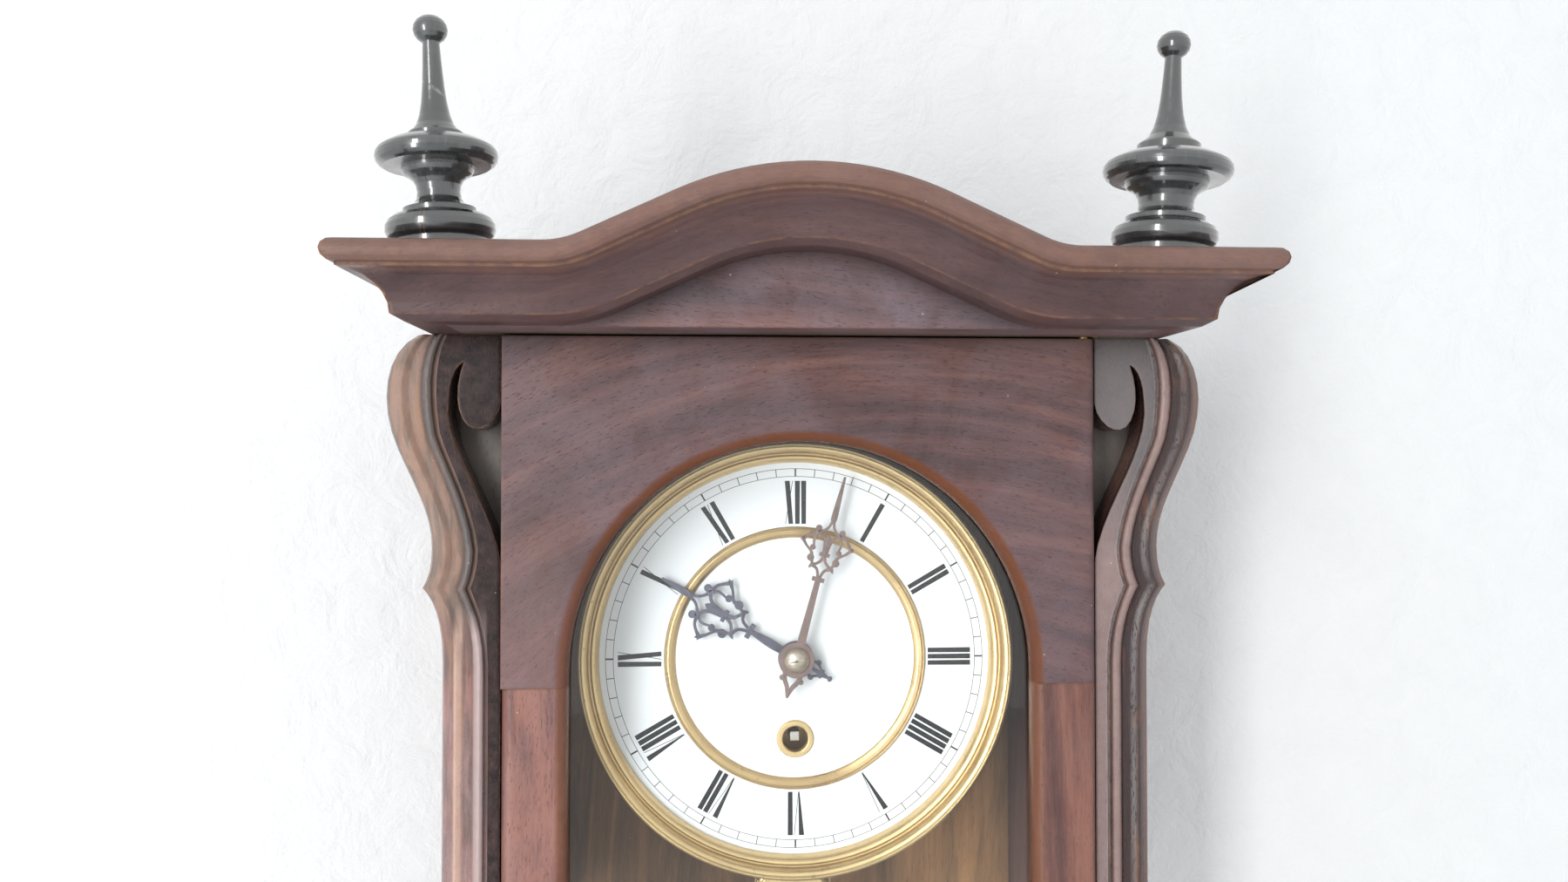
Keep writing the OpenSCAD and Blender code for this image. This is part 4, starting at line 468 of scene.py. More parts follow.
def between(axis, low, high, soft):
    """A zone between two places along one axis, with soft edges"""
    def mask(f):
        place = f.parts()[axis]
        return f.times(f.fit(place, low - soft, low + soft),
                       f.drop(place, high - soft, high + soft))
    return mask


def across_zone(low, high, soft=0.0006):
    """A zone between two places across the clock"""
    return between(0, low, high, soft)


def depth_zone(back, front, soft=0.0015):
    """A zone between two depths in front of the wall"""
    return between(1, -front, -back, soft)


def level_zone(low, high, soft=0.006):
    """A zone between two heights"""
    return between(2, low, high, soft)


def facing_front(f):
    """Surfaces that look straight out from the wall"""
    return f.drop(f.facing(), -0.9, -0.7)


def patches(width, length, low, high, shift=0.0):
    """Ragged patches of another tone, drawn out along the height"""
    def mask(f):
        return f.fit(f.noise(f.space((width, width, length), (0, 0, 0), (shift, shift, shift)),
                             1.0, 4.0, 0.6, 0.4), low, high)
    return mask


def both(first, second):
    """Where two zones meet"""
    return lambda f: f.times(first(f), second(f))


def outside(zone):
    """Everywhere but a zone"""
    return lambda f: f.minus(1.0, zone(f))


def arch_zone(f):
    """The moulded edge round the door's arched opening and down its stiles"""
    part = f.parts()
    above = f.sum("MAXIMUM", f.minus(part[2], DIAL_CENTRE.z), 0.0)
    return f.drop(f.reach(part[0], above), *ARCH_MOULDING)


def sunk_flat(f):
    """The sunk flat of a pilaster"""
    off = f.sum("ABSOLUTE", f.plus(f.parts()[1], SUNK_FLAT_DEPTH))
    return f.times(f.drop(off, 0.0002, 0.0005), f.drop(f.facing(), -0.99, -0.96))


def ebony(name, crack_x=None):
    """Black stained turning: grey green sheen, rubbed rims and fine lathe marks"""
    f = Finish(name, Specular_IOR_Level=1.0, Coat_Weight=1.0, Coat_Roughness=0.06, Coat_IOR=1.7)
    streak = f.noise(f.space((0.0016, 0.0016, 0.020)), 1.0, 4.0, 0.6)
    cloud = f.noise(f.where, 46.0, 5.0, 0.65)
    rings = f.noise(f.space((0.05, 0.05, 0.0008)), 1.0, 2.0, 0.5)
    colour = f.steps(f.plus(f.times(streak, 0.5), f.times(cloud, 0.5)),
                     (0.30, (0.009, 0.011, 0.012)), (0.52, (0.022, 0.027, 0.028)),
                     (0.74, (0.080, 0.094, 0.094)))
    near, soft = f.edges(0.0012, 0.02, 0.22)
    patch = f.fit(f.noise(f.where, 260.0, 4.0, 0.7), 0.45, 0.62)
    colour = f.stain(colour, (0.21, 0.155, 0.105), near, patch, 0.6)
    # painted shade: near black in corners and quirks, by how occluded they are
    colour = f.stain(colour, (0.010, 0.010, 0.011), f.corners(0.006, 0.35, 0.9), 0.55)
    height = f.plus(f.times(rings, 0.6), f.times(streak, 0.4))
    if crack_x is not None:
        part = f.parts()
        wander = f.times(f.noise(f.where, 220.0, 3.0, 0.6), 0.0016)
        off = f.sum("ABSOLUTE", f.minus(f.plus(part[0], wander), crack_x))
        foot = f.times(f.drop(part[2], *CRACK_TOP), f.drop(part[1], *CRACK_BACK))
        split = f.times(f.drop(off, 0.00025, 0.0005), foot)
        colour = f.stain(colour, (0.16, 0.10, 0.06), f.drop(off, 0.0006, 0.0012), foot, 0.45)
        colour = f.blend(split, colour, (0.004, 0.003, 0.003))
        # glue line of an old mend in the stem
        slope = f.plus(part[2], f.times(f.minus(part[0], crack_x), 0.7))
        line = f.drop(f.sum("ABSOLUTE", f.minus(slope, GLUE_LEVEL)), 0.0003, 0.0011)
        colour = f.stain(colour, (0.34, 0.33, 0.30), line, patch, 0.7)
        height = f.minus(height, f.times(split, 3.0))
    f.set(Base_Color=colour, Roughness=f.fit(cloud, 0.3, 0.7, 0.16, 0.34),
          Normal=f.relief(height, 0.00008, soft, 0.6))
    return f.material


def brass(name, turned_about=None, bright=0.6, rough=0.34, cut=0.0006, milled=None,
          core=None, least=0.15):
    """Old brass: rubbed high spots, brown tarnish in the corners, turned or milled marks"""
    look = bpy.context.scene.clock_metal
    f = Finish(name, Metallic=1.0)
    if turned_about is None:
        marks = f.noise(f.space((cut, 0.02, 0.02)), 1.0, 3.0, 0.6)
    else:
        part = f.parts(f.space((1, 1, 1), centre=turned_about))
        reach = f.reach(part[0], part[2])
        ring = f.add("ShaderNodeCombineXYZ", {0: reach, 1: part[1]}).outputs[0]
        marks = f.noise(f.space((cut, cut, 1.0), source=ring), 1.0, 3.0, 0.6)
    if milled:
        inner, outer, teeth = milled
        wave = f.sum("SINE", f.times(f.sum("ARCTAN2", part[0], part[2]), float(teeth)))
        marks = f.plus(marks, f.times(
            f.fit(wave, -0.6, 0.6, 0.0, 5.0), f.fit(reach, inner, inner + 0.0001),
            f.drop(reach, outer, outer + 0.0001)))
    cloud = f.noise(f.where, 55.0, 6.0, 0.66, 0.3)
    spots = f.fit(f.noise(f.where, 420.0, 4.0, 0.7), 0.60, 0.74)
    near, soft = f.edges(0.0007, 0.03, 0.30)
    old = f.fit(cloud, 0.36, 0.68, 1.0 - bright, least)
    colour = f.blend(old, look.brass, look.tarnish)
    colour = f.stain(colour, (0.80, 0.66, 0.36), near, 0.55)
    colour = f.stain(colour, (0.16, 0.10, 0.05), spots, 0.5)
    colour = f.stain(colour, (0.12, 0.075, 0.035), f.corners(0.004, 0.30, 0.85), 0.6)
    if core:
        # a steel arbor in the middle of the brass
        colour = f.blend(f.fit(reach, core, core + 0.0001, 0.92, 0.0), colour, (0.62, 0.61, 0.59))
    f.set(Base_Color=colour, Normal=f.relief(marks, 0.00006, soft, 0.7), Roughness=f.plus(
        f.fit(cloud, 0.3, 0.7, rough - 0.06, rough + 0.12), f.times(spots, 0.2)))
    return f.material


def steel(name, colour, worn, metal=0.9, rough=0.34, rust=0.3):
    """Steel with scratches, brown freckles and brighter rubbed edges"""
    f = Finish(name, Metallic=metal)
    scratch = f.noise(f.space((0.0003, 0.0003, 0.006), (0, 0.5, 0)), 1.0, 3.0, 0.6)
    cloud = f.noise(f.where, 160.0, 5.0, 0.65)
    freckle = f.fit(f.noise(f.where, 700.0, 4.0, 0.7), 0.52, 0.70)
    near, soft = f.edges(0.0004, 0.03, 0.35)
    tone = f.blend(f.fit(cloud, 0.32, 0.68), colour, shade(colour, 1.7))
    tone = f.stain(tone, worn, near, 0.5)
    tone = f.stain(tone, (0.13, 0.055, 0.030), freckle, rust)
    f.set(Base_Color=tone, Roughness=f.fit(cloud, 0.3, 0.7, rough, rough + 0.18),
          Normal=f.relief(f.plus(scratch, freckle), 0.00005, soft, 0.6))
    return f.material


def japan(name):
    """Black japanned iron, slightly lumpy, with rust along its edges"""
    look = bpy.context.scene.clock_metal
    f = Finish(name, Metallic=0.0, Specular_IOR_Level=0.5)
    lump = f.noise(f.where, 380.0, 4.0, 0.6)
    near, soft = f.edges(0.0009, 0.03, 0.3)
    patch = f.fit(f.noise(f.where, 210.0, 4.0, 0.7), 0.42, 0.6)
    f.set(Base_Color=f.stain(look.iron, (0.17, 0.085, 0.045), near, patch),
          Roughness=f.fit(lump, 0.3, 0.7, 0.34, 0.55), Normal=f.relief(lump, 0.0002, soft, 0.6))
    return f.material


def enamel(name, aged=0.0):
    """Fired enamel: a little uneven, cold white, with yellowed rims and a rare speck"""
    look = bpy.context.scene.clock_dial
    f = Finish(name, Coat_Weight=0.5, Coat_Roughness=0.04, Specular_IOR_Level=0.5)
    ripple = f.noise(f.where, 60.0, 3.0, 0.5)
    cloud = f.noise(f.where, 26.0, 5.0, 0.6)
    near, soft = f.edges(0.0007, 0.05, 0.4)
    colour = f.blend(f.fit(cloud, 0.35, 0.75, 0.0, 0.35 + aged), look.enamel, (0.80, 0.81, 0.80))
    colour = f.stain(colour, (0.62, 0.58, 0.50), near, 0.5)
    fleck = f.fit(f.noise(f.where, 900.0, 2.0, 0.5), 0.735, 0.76)
    colour = f.stain(colour, (0.35, 0.32, 0.30), fleck, 0.35)
    f.set(Base_Color=colour, Roughness=f.fit(cloud, 0.3, 0.7, 0.10, 0.18),
          Normal=f.relief(ripple, 0.00035, soft, 0.35))
    return f.material


def ink(name):
    """Fired black paint, thinner in places"""
    look = bpy.context.scene.clock_dial
    f = Finish(name, Specular_IOR_Level=0.4)
    thin = f.noise(f.where, 900.0, 3.0, 0.6)
    colour = f.blend(f.fit(thin, 0.45, 0.8, 0.0, 0.5), look.ink, (0.045, 0.048, 0.055))
    f.set(Base_Color=colour, Roughness=f.fit(thin, 0.3, 0.7, 0.25, 0.45),
          Normal=f.relief(thin, 0.00002, None, 0.5))
    return f.material


def glass(name):
    """Old window glass that lets the lamps through, with slow waves in it"""
    f = Finish(name, Base_Color=(0.985, 1.0, 0.99), Roughness=0.0, IOR=1.45,
               Transmission_Weight=1.0, Specular_IOR_Level=0.25)
    wave = f.noise(f.space((0.05, 0.05, 0.12)), 1.0, 2.0, 0.4)
    f.set(Normal=f.relief(wave, 0.0004, None, 0.06))
    clear = f.add("ShaderNodeBsdfTransparent", {"Color": (0.97, 0.985, 0.975)}).outputs[0]
    lamp = f.add("ShaderNodeLightPath").outputs["Is Shadow Ray"]
    mixed = f.add("ShaderNodeMixShader", {0: lamp, 1: f.shader.outputs[0], 2: clear}).outputs[0]
    f.feed(f.output.inputs["Surface"], mixed)
    return f.material


def gut_finish(name):
    """Dried gut: amber and oily, with painted shade between its strands"""
    look = bpy.context.scene.clock_gut
    f = Finish(name, Specular_IOR_Level=0.5)
    cloud = f.noise(f.where, 260.0, 4.0, 0.65)
    fibre = f.noise(f.where, 2600.0, 2.0, 0.6)
    colour = f.blend(f.fit(cloud, 0.3, 0.7), shade(look.colour, 0.55), look.colour)
    # painted shade in the furrows between the strands, by how occluded they are
    colour = f.stain(colour, (0.10, 0.055, 0.02), f.corners(0.0006, 0.3, 0.95), 0.7)
    f.set(Base_Color=colour, Roughness=f.fit(fibre, 0.3, 0.7, 0.28, 0.5),
          Normal=f.relief(fibre, 0.00003, None, 0.6))
    return f.material


def nodes_of(slot):
    """The CAD nodes that the record finishes with one slot"""
    return [part["node"] for part in frame["record"]["subparts"]
            if part["material_slot"] == slot]


def dress(material, *nodes):
    """Gives CAD nodes one finish"""
    for name in nodes:
        mesh = frame["nodes"][name].data
        mesh.materials.clear()
        mesh.materials.append(material)


def placed(name, data):
    """A new object in the scene"""
    made = bpy.data.objects.new(name, data)
    bpy.context.scene.collection.objects.link(made)
    return made


def finish_piece(name, mesh, body, material):
    """A new piece at the origin that rides on a body and takes the finish it is given"""
    piece = placed(name, mesh)
    mesh.materials.clear()
    mesh.materials.append(material)
    if body:
        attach(piece, body)
    return piece


def mesh_of(shape, name, smooth=False):
    """Closes a bmesh, points it outwards and keeps it as a mesh, in the same order each run"""
    bmesh.ops.remove_doubles(shape, verts=shape.verts, dist=1e-7)
    bmesh.ops.recalc_face_normals(shape, faces=shape.faces)
    for items, place in ((shape.verts, lambda corner: tuple(corner.co)),
                         (shape.faces, lambda face: tuple(face.calc_center_median()))):
        rank = {item: i for i, item in enumerate(sorted(items, key=place))}
        items.sort(key=rank.get)
    mesh = bpy.data.meshes.new(name)
    shape.to_mesh(mesh)
    shape.free()
    for face in mesh.polygons:
        face.use_smooth = smooth
    return mesh


# ---------------------------------------------------------------- pieces


def on_dial(angle, across, out, lift):
    """A point on the dial: angle clockwise from twelve, then across and out from the centre"""
    return DIAL_CENTRE + Vector((math.sin(angle) * out + math.cos(angle) * across,
                                 -(ENAMEL_FRONT + lift),
                                 math.cos(angle) * out - math.sin(angle) * across))


def lay_stroke(shape, angle, foot, head, foot_half, head_half, paint):
    """One bar of paint: foot and head are (across, out), and the bar is closed all round"""
    for corner in bmesh.ops.create_cube(shape, size=1.0)["verts"]:
        top = corner.co.z > 0
        across, out = head if top else foot
        half = head_half if top else foot_half
        corner.co = on_dial(angle, across + half * (1 if corner.co.x > 0 else -1), out,
                            paint if corner.co.y < 0 else PAINT_BACK)


def lay_numeral(shape, text, angle, dial):
    """A wedge shaped numeral with its foot towards the centre"""
    half = dial.stroke / 2
    hair = dial.hairline / 2
    place = -sum(NUMERAL_WIDTHS[letter] for letter in text) / 2
    for letter in text:
        centre = place + NUMERAL_WIDTHS[letter] / 2
        place += NUMERAL_WIDTHS[letter]

        def bar(foot_at, head_at, foot_half, head_half):
            lay_stroke(shape, angle, (centre + foot_at, dial.foot),
                       (centre + head_at, dial.head), foot_half, head_half, dial.paint)

        if letter == "I":
            bar(0, 0, half * 0.96, half * 1.06)
        elif letter == "V":
            bar(-0.00015, -0.00125, half * 0.22, half * 1.12)
            bar(0.00005, 0.00185, hair, hair)
        else:
            bar(0.00075, -0.00080, half * 0.96, half * 1.06)
            bar(-0.00155, 0.00150, hair, hair)


def links_of(corners, kind):
    """The faces or edges that meet some corners, each once"""
    return list(dict.fromkeys(link for corner in corners for link in getattr(corner, kind)))


def lay_ring(shape, radius, half, low, high):
    """A closed ring round the dial's centre, spun from its section"""
    corners = bmesh.ops.create_grid(shape, x_segments=1, y_segments=1, size=1.0)["verts"]
    for corner in corners:
        corner.co = DIAL_CENTRE + Vector((
            radius + half * (1 if corner.co.x > 0 else -1),
            -(ENAMEL_FRONT + (high if corner.co.y > 0 else low)), 0))
    edges = links_of(corners, "link_edges")
    bmesh.ops.delete(shape, geom=links_of(corners, "link_faces"), context="FACES_ONLY")
    bmesh.ops.spin(shape, geom=corners + edges, cent=DIAL_CENTRE, axis=(0, 1, 0), dvec=(0, 0, 0),
                   angle=math.tau, steps=RING_STEPS, use_merge=True, use_duplicate=False)


def smooth_way(knots, count):
    """Even steps along a smooth way through knots, which are an (across, out) and a width"""
    places = [Vector((*place, width)) for place, width in knots]
    ends = [places[0] * 2 - places[1], *places, places[-1] * 2 - places[-2]]
    way = []
    for i in range(count + 1):
        share = i / count * (len(places) - 1)
        k = min(int(share), len(places) - 2)
        t = share - k
        a, b, c, d = ends[k:k + 4]
        way.append(b + (c - a) * (t / 2) + (a * 2 - b * 5 + c * 4 - d) * (t * t / 2)
                   + (b * 3 - a - c * 3 + d) * (t ** 3 / 2))
    return way


def lay_ribbon(shape, angle, knots, lifts, side=1):
    """A flat ribbon of a hand: a strip bent along its way and then given its thickness"""
    count = 1 if len(knots) == 2 else STEPS_TO_KNOT * (len(knots) - 1)
    way = smooth_way(knots, count)
    strip = bmesh.ops.create_grid(shape, x_segments=count, y_segments=1, size=1.0)["verts"]
    for corner in strip:
        i = round((corner.co.x + 1) / 2 * count)
        ahead = way[min(i + 1, count)] - way[max(i - 1, 0)]
        off = Vector((-ahead.y, ahead.x)).normalized() * max(way[i].z, LEAST_LINE) / 2
        if corner.co.y < 0:
            off = -off
        corner.co = on_dial(angle, side * (way[i].x + off.x), way[i].y + off.y, lifts[0])
    raised = bmesh.ops.extrude_face_region(shape, geom=links_of(strip, "link_faces"))["geom"]
    bmesh.ops.translate(shape, verts=[v for v in raised if isinstance(v, bmesh.types.BMVert)],
                        vec=(0, lifts[0] - lifts[1], 0))


def lay_ball(shape, angle, ball, lifts, side=1):
    """A round of a hand's ornament"""
    place, radius = ball
    made = bmesh.ops.create_cone(shape, cap_ends=True, segments=BALL_SIDES, radius1=radius,
                                 radius2=radius, depth=1.0)["verts"]
    for corner in made:
        corner.co = on_dial(angle, side * place[0] + corner.co.x, place[1] + corner.co.y,
                            lifts[1] if corner.co.z > 0 else lifts[0])


def in_metres(marks, wide=1.0, tall=1.0, thick=1.0, foot=0.0):
    """Places and widths from a table in millimetres, stretched and moved out by foot"""
    return [((x * wide / 1000, foot + y * tall / 1000), w * thick / 1000) for (x, y), w in marks]


def lay_hand(shape, angle, lifts, bore, foot, length, half, width, plain, mirrored, balls):
    """A pierced hand: hub, ornament, stem, tip and tail"""
    lay_ring(shape, (HUB_RADIUS + bore) / 2, (HUB_RADIUS - bore) / 2, *lifts)
    wide, tall = half / FRET_HALF, length / FRET_LENGTH
    lines = [in_metres(line, wide, tall, width, foot) for line in FRET_LINES]
    lines += [in_metres(line) for line in mirrored]
    rounds = in_metres(FRET_BALLS, wide, tall, wide, foot) + in_metres(balls)
    work = []
    for side in (1, -1):
        work += [(lay_ribbon, line, side) for line in lines]
        work += [(lay_ball, ball, side) for ball in rounds]
    work += [(lay_ribbon, in_metres(line), 1) for line in plain]
    for count, (lay, mark, side) in enumerate(work, 1):
        lay(shape, angle, mark, (lifts[0], lifts[1] - FRONT_STEP * count), side)


def twisted_gut(name, points, body, node, material):
    """Laid gut that follows the points, made from a lobed section turned along the way"""
    look = bpy.context.scene.clock_gut
    radius = look.thickness / 2
    section = bpy.data.curves.new(name + "_section", "CURVE")
    section.dimensions = "2D"
    ring = section.splines.new("POLY")
    ring.points.add(GUT_SECTION_POINTS - 1)
    for i, point in enumerate(ring.points):
        a = math.tau * i / GUT_SECTION_POINTS
        r = radius * (1.0 - GUT_FURROW * (0.5 - 0.5 * math.cos(a * look.strands)))
        point.co = (r * math.cos(a), r * math.sin(a), 0, 1)
    ring.use_cyclic_u = True
    section_object = placed(name + "_section", section)
    path = bpy.data.curves.new(name, "CURVE")
    path.dimensions = "3D"
    path.twist_mode = "MINIMUM"
    path.bevel_mode = "OBJECT"
    path.bevel_object = section_object
    path.use_fill_caps = True
    line = path.splines.new("POLY")
    line.points.add(len(points) - 1)
    way, last = 0.0, points[0]
    for knot, place in zip(line.points, points):
        way += (place - last).length
        last = place
        knot.co = (*place, 1)
        knot.tilt = math.tau * way / look.lay
    line.use_smooth = True
    holder = placed(name + "_path", path)
    bpy.context.view_layer.update()
    ready = bpy.context.evaluated_depsgraph_get()
    mesh = bpy.data.meshes.new_from_object(holder.evaluated_get(ready))
    bpy.data.objects.remove(holder)
    bpy.data.objects.remove(section_object)
    shape = bmesh.new()
    shape.from_mesh(mesh)
    bpy.data.meshes.remove(mesh)
    piece = finish_piece(name, mesh_of(shape, name, True), body, material)
    if node:
        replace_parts(piece, node)
    return piece


def straight(start, end, step=0.0004):
    """Points a step apart along a straight line"""
    count = max(2, int((end - start).length / step))
    return [start.lerp(end, i / count) for i in range(count + 1)]


# ---------------------------------------------------------------- operators


class CLOCK_OT_stage(bpy.types.Operator):
    """Camera, tall lamp, even light, pale wall and floor"""

    bl_idname = "clock.stage"
    bl_label = "Stage"

    def execute(self, context):
        look = context.scene.clock_stage
        scene = context.scene
        lens = bpy.data.cameras.new("camera")
        lens.sensor_width = 36.0
        lens.lens = look.lens
        lens.clip_start, lens.clip_end = 0.01, 50
        camera = placed("camera", lens)
        camera.location = look.eye
        camera.rotation_euler = look.turn
        scene.camera = camera
        scene.view_settings.view_transform = "Standard"

        lamp = bpy.data.lights.new("key", "AREA")
        lamp.shape = "RECTANGLE"
        lamp.size, lamp.size_y = LAMP_SIZE
        lamp.energy = look.key
        key = placed("key", lamp)
        key.location = LAMP_AIM + LAMP_FROM_AIM
        key.rotation_euler = (-LAMP_FROM_AIM).to_track_quat("-Z", "Y").to_euler()

        world = bpy.data.worlds.new("studio")
        scene.world = world
        world.use_nodes = True
        sky = Nodes(world.node_tree)
        path = sky.add("ShaderNodeLightPath").outputs
        seen = sky.sum("MAXIMUM", sky.sum("MAXIMUM", path["Is Camera Ray"],
                                          path["Is Glossy Ray"]), path["Is Transmission Ray"])
        level = (look.fill * 0.98, look.fill, look.fill * 1.03)
        background = sky.nodes["Background"].inputs
        sky.feed(background["Color"], sky.blend(seen, level, (1, 1, 1)))
        background["Strength"].default_value = 1.0

        off_white = shade(look.plaster, 0.97)
        plaster = Finish("plaster", Roughness=0.9, Specular_IOR_Level=0.2)
        lump = plaster.noise(plaster.where, 42.0, 6.0, 0.62, 0.5)
        sand = plaster.noise(plaster.where, 330.0, 3.0, 0.6)
        plaster.set(Base_Color=plaster.blend(plaster.fit(lump, 0.3, 0.7), look.plaster, off_white),
                    Normal=plaster.relief(plaster.plus(lump, plaster.times(sand, 0.12)), 0.004,
                                          None, 0.55))
        # only the eye meets the wall: light passes it, and from behind it isn't there
        light = plaster.add("ShaderNodeLightPath").outputs["Is Camera Ray"]
        behind = plaster.add("ShaderNodeNewGeometry").outputs["Backfacing"]
        hide = plaster.sum("MAXIMUM", plaster.minus(1.0, light), behind)
        clear = plaster.add("ShaderNodeBsdfTransparent").outputs[0]
        plaster.feed(plaster.output.inputs["Surface"], plaster.add("ShaderNodeMixShader", {
            0: hide, 1: plaster.shader.outputs[0], 2: clear}).outputs[0])

        pale = Finish("floor", Roughness=0.8, Specular_IOR_Level=0.2)
        pale.set(Base_Color=pale.blend(pale.noise(pale.where, 3.0, 4.0, 0.6), look.plaster,
                                       off_white))

        for name, finish, place in (("wall", plaster, WALL_PLACE), ("floor", pale, FLOOR_PLACE)):
            shape = bmesh.new()
            bmesh.ops.create_grid(shape, x_segments=8, y_segments=8, size=GROUND_HALF,
                                  matrix=place)
            mesh = bpy.data.meshes.new(name)
            shape.to_mesh(mesh)
            shape.free()
            mesh.materials.append(finish.material)
            placed(name, mesh)
        return {"FINISHED"}


class CLOCK_OT_show_wood(bpy.types.Operator):
    """Cornice, tympanum, pilasters, base moulding and apron in polished wood"""

    bl_idname = "clock.show_wood"
    bl_label = "Show wood"

    def execute(self, context):
        nose = (depth_zone(*CORNICE_NOSE, 0.002), (0.30, 0.165, 0.115), 0.52)
        # painted shade: the cove under the nose is painted darker
        shaded_cove = (depth_zone(*CORNICE_COVE, 0.004), (0.060, 0.027, 0.026), 0.58)
        dress(wood("cornice_wood", bow=CORNICE_SWEEP, bloom=0.38, tint=(0.88, 0.90, 0.96),
                   gloss=0.32, rub=1.17, wear_and_highlight_colour=(0.55, 0.26, 0.12), zones=(nose, shaded_cove)),
              "cornice_front")
        dress(wood("return_wood", along="y", bloom=0.38, tint=(0.86, 0.90, 0.96), gloss=0.34,
                   rub=1.1, shift=0.4, zones=(nose, shaded_cove)), "cornice_returns")
        dress(wood("tympanum_wood", along="x", turn=0.12, tint=(1.08, 1.20, 1.30), bloom=0.60,
                   gloss=0.44, rub=0.8, shift=0.9), "tympanum")
        # a pilaster's scroll above, its straight rail below, and the rail's mouldings
        scroll, rail = level_zone(*SCROLL_LEVELS), outside(sunk_flat)
        straight_part = outside(scroll)
        crest = both(rail, depth_zone(0.1452, 0.16, 0.0006))
        hollow = both(rail, depth_zone(0.1412, 0.1446, 0.0005))
        slope = both(rail, depth_zone(0.10, 0.1412, 0.0008))
        inner_bead = both(across_zone(-0.1276, -0.1225), straight_part)
        outer_bead = both(across_zone(-0.1349, -0.1320), straight_part)
        # the left pilaster is a lit copy of the wood: its tint paints it lighter, as light falls on
        # it from the left
        dress(wood("left_pilaster_wood", tint=(2.05, 2.20, 2.15), gloss=0.21, rub=1.1,
                   shift=1.7, lean=0.30, wear_and_highlight_colour=(0.55, 0.30, 0.18), zones=(
                       # painted shade: the sunk flat is near black, and the scroll darker than the
                       # lit rail below it
                       (sunk_flat, (0.016, 0.007, 0.007), 1.0),
                       (both(rail, scroll), (0.125, 0.078, 0.062), 0.80),
                       # painted highlight: a pale band along the scroll's moulding
                       (both(rail, both(scroll, depth_zone(0.1390, 0.1446, 0.0008))),
                        (0.480, 0.315, 0.235), 0.70),
                       # painted sheen: grey green patches on the rail stand in for its reflections;
                       # the orange patches after them are wear
                       (both(rail, patches(0.007, 0.034, 0.46, 0.60)), (0.085, 0.095, 0.090), 0.55),
                       (both(rail, patches(0.004, 0.026, 0.52, 0.64, 3.0)), (0.50, 0.25, 0.13),
                        0.35),
                       # painted highlight on the straight crest, and painted shade on the crest of
                       # the scroll
                       (both(crest, straight_part), (0.520, 0.410, 0.400), 0.75),
                       (both(crest, scroll), (0.095, 0.098, 0.098), 0.75),
                       # painted highlights on the inner and outer beads
                       (inner_bead, (0.520, 0.400, 0.390), 0.60),
                       (outer_bead, (0.850, 0.580, 0.450), 0.80))), "left_pilaster")
        # the right pilaster is a shaded copy of the wood: its tint paints it darker, as it faces
        # away from the light
        dress(wood("right_pilaster_wood", bloom=0.30, tint=(0.80, 0.66, 0.62), gloss=0.25,
                   rub=1.1, shift=1.9, lean=-0.27, wear_and_highlight_colour=(0.46, 0.26, 0.16), zones=(
                       # painted sheen: the sunk flat is light grey, greyer and darker on the scroll
                       (sunk_flat, (0.37, 0.265, 0.250), 0.95),
                       (both(sunk_flat, level_zone(-0.088, 0.1, 0.02)), (0.145, 0.135, 0.137),
                        0.95),
                       (slope, (0.175, 0.085, 0.062), 0.60),
                       # painted shade: the hollow is near black
                       (hollow, (0.030, 0.027, 0.030), 0.75),
                       (both(rail, patches(0.004, 0.030, 0.54, 0.66, 3.0)), (0.30, 0.12, 0.05),
                        0.40),
                       # painted highlight along the crest
                       (crest, (0.400, 0.285, 0.265), 0.80))), "right_pilaster")
        dress(wood("base_wood", along="x", gloss=0.34, rub=1.1, shift=2.3), "base_moulding")
        dress(wood("apron_wood", along="x", turn=0.1, shift=2.9), "apron")
        return {"FINISHED"}


class CLOCK_OT_door_wood(bpy.types.Operator):
    """Door head with sweeping figure, stiles and bottom rail"""

    bl_idname = "clock.door_wood"
    bl_label = "Door wood"

    def execute(self, context):
        arch = (arch_zone, (0.180, 0.060, 0.021), 0.85)
        # the head's lower left is paler
        paler_lower_left = (both(level_zone(-0.30, -0.105, 0.035), across_zone(-0.13, -0.085, 0.015)),
                 (0.34, 0.185, 0.160), 0.34)
        dress(wood("door_head_wood", bow=HEAD_SWEEP, turn=0.10, bloom=0.46, bands=1.08,
                   tint=(0.90, 0.93, 0.99), rub=0.9, shift=3.3, zones=(arch, paler_lower_left), matt=0.75),
              "door_head")
        dress(wood("left_stile_wood", turn=0.04, bloom=0.34, light=0.7, tint=(1.40, 1.28, 1.2),
                   gloss=0.36, shift=4.1, zones=(arch,)), "door_left_stile")
        dress(wood("right_stile_wood", turn=-0.03, bloom=0.26, light=0.7, tint=(1.20, 1.10, 1.0),
                   gloss=0.38, shift=5.2, zones=(arch,)), "door_right_stile")
        dress(wood("door_rail_wood", along="x", bloom=0.42, shift=6.1), "door_bottom_rail")
        return {"FINISHED"}


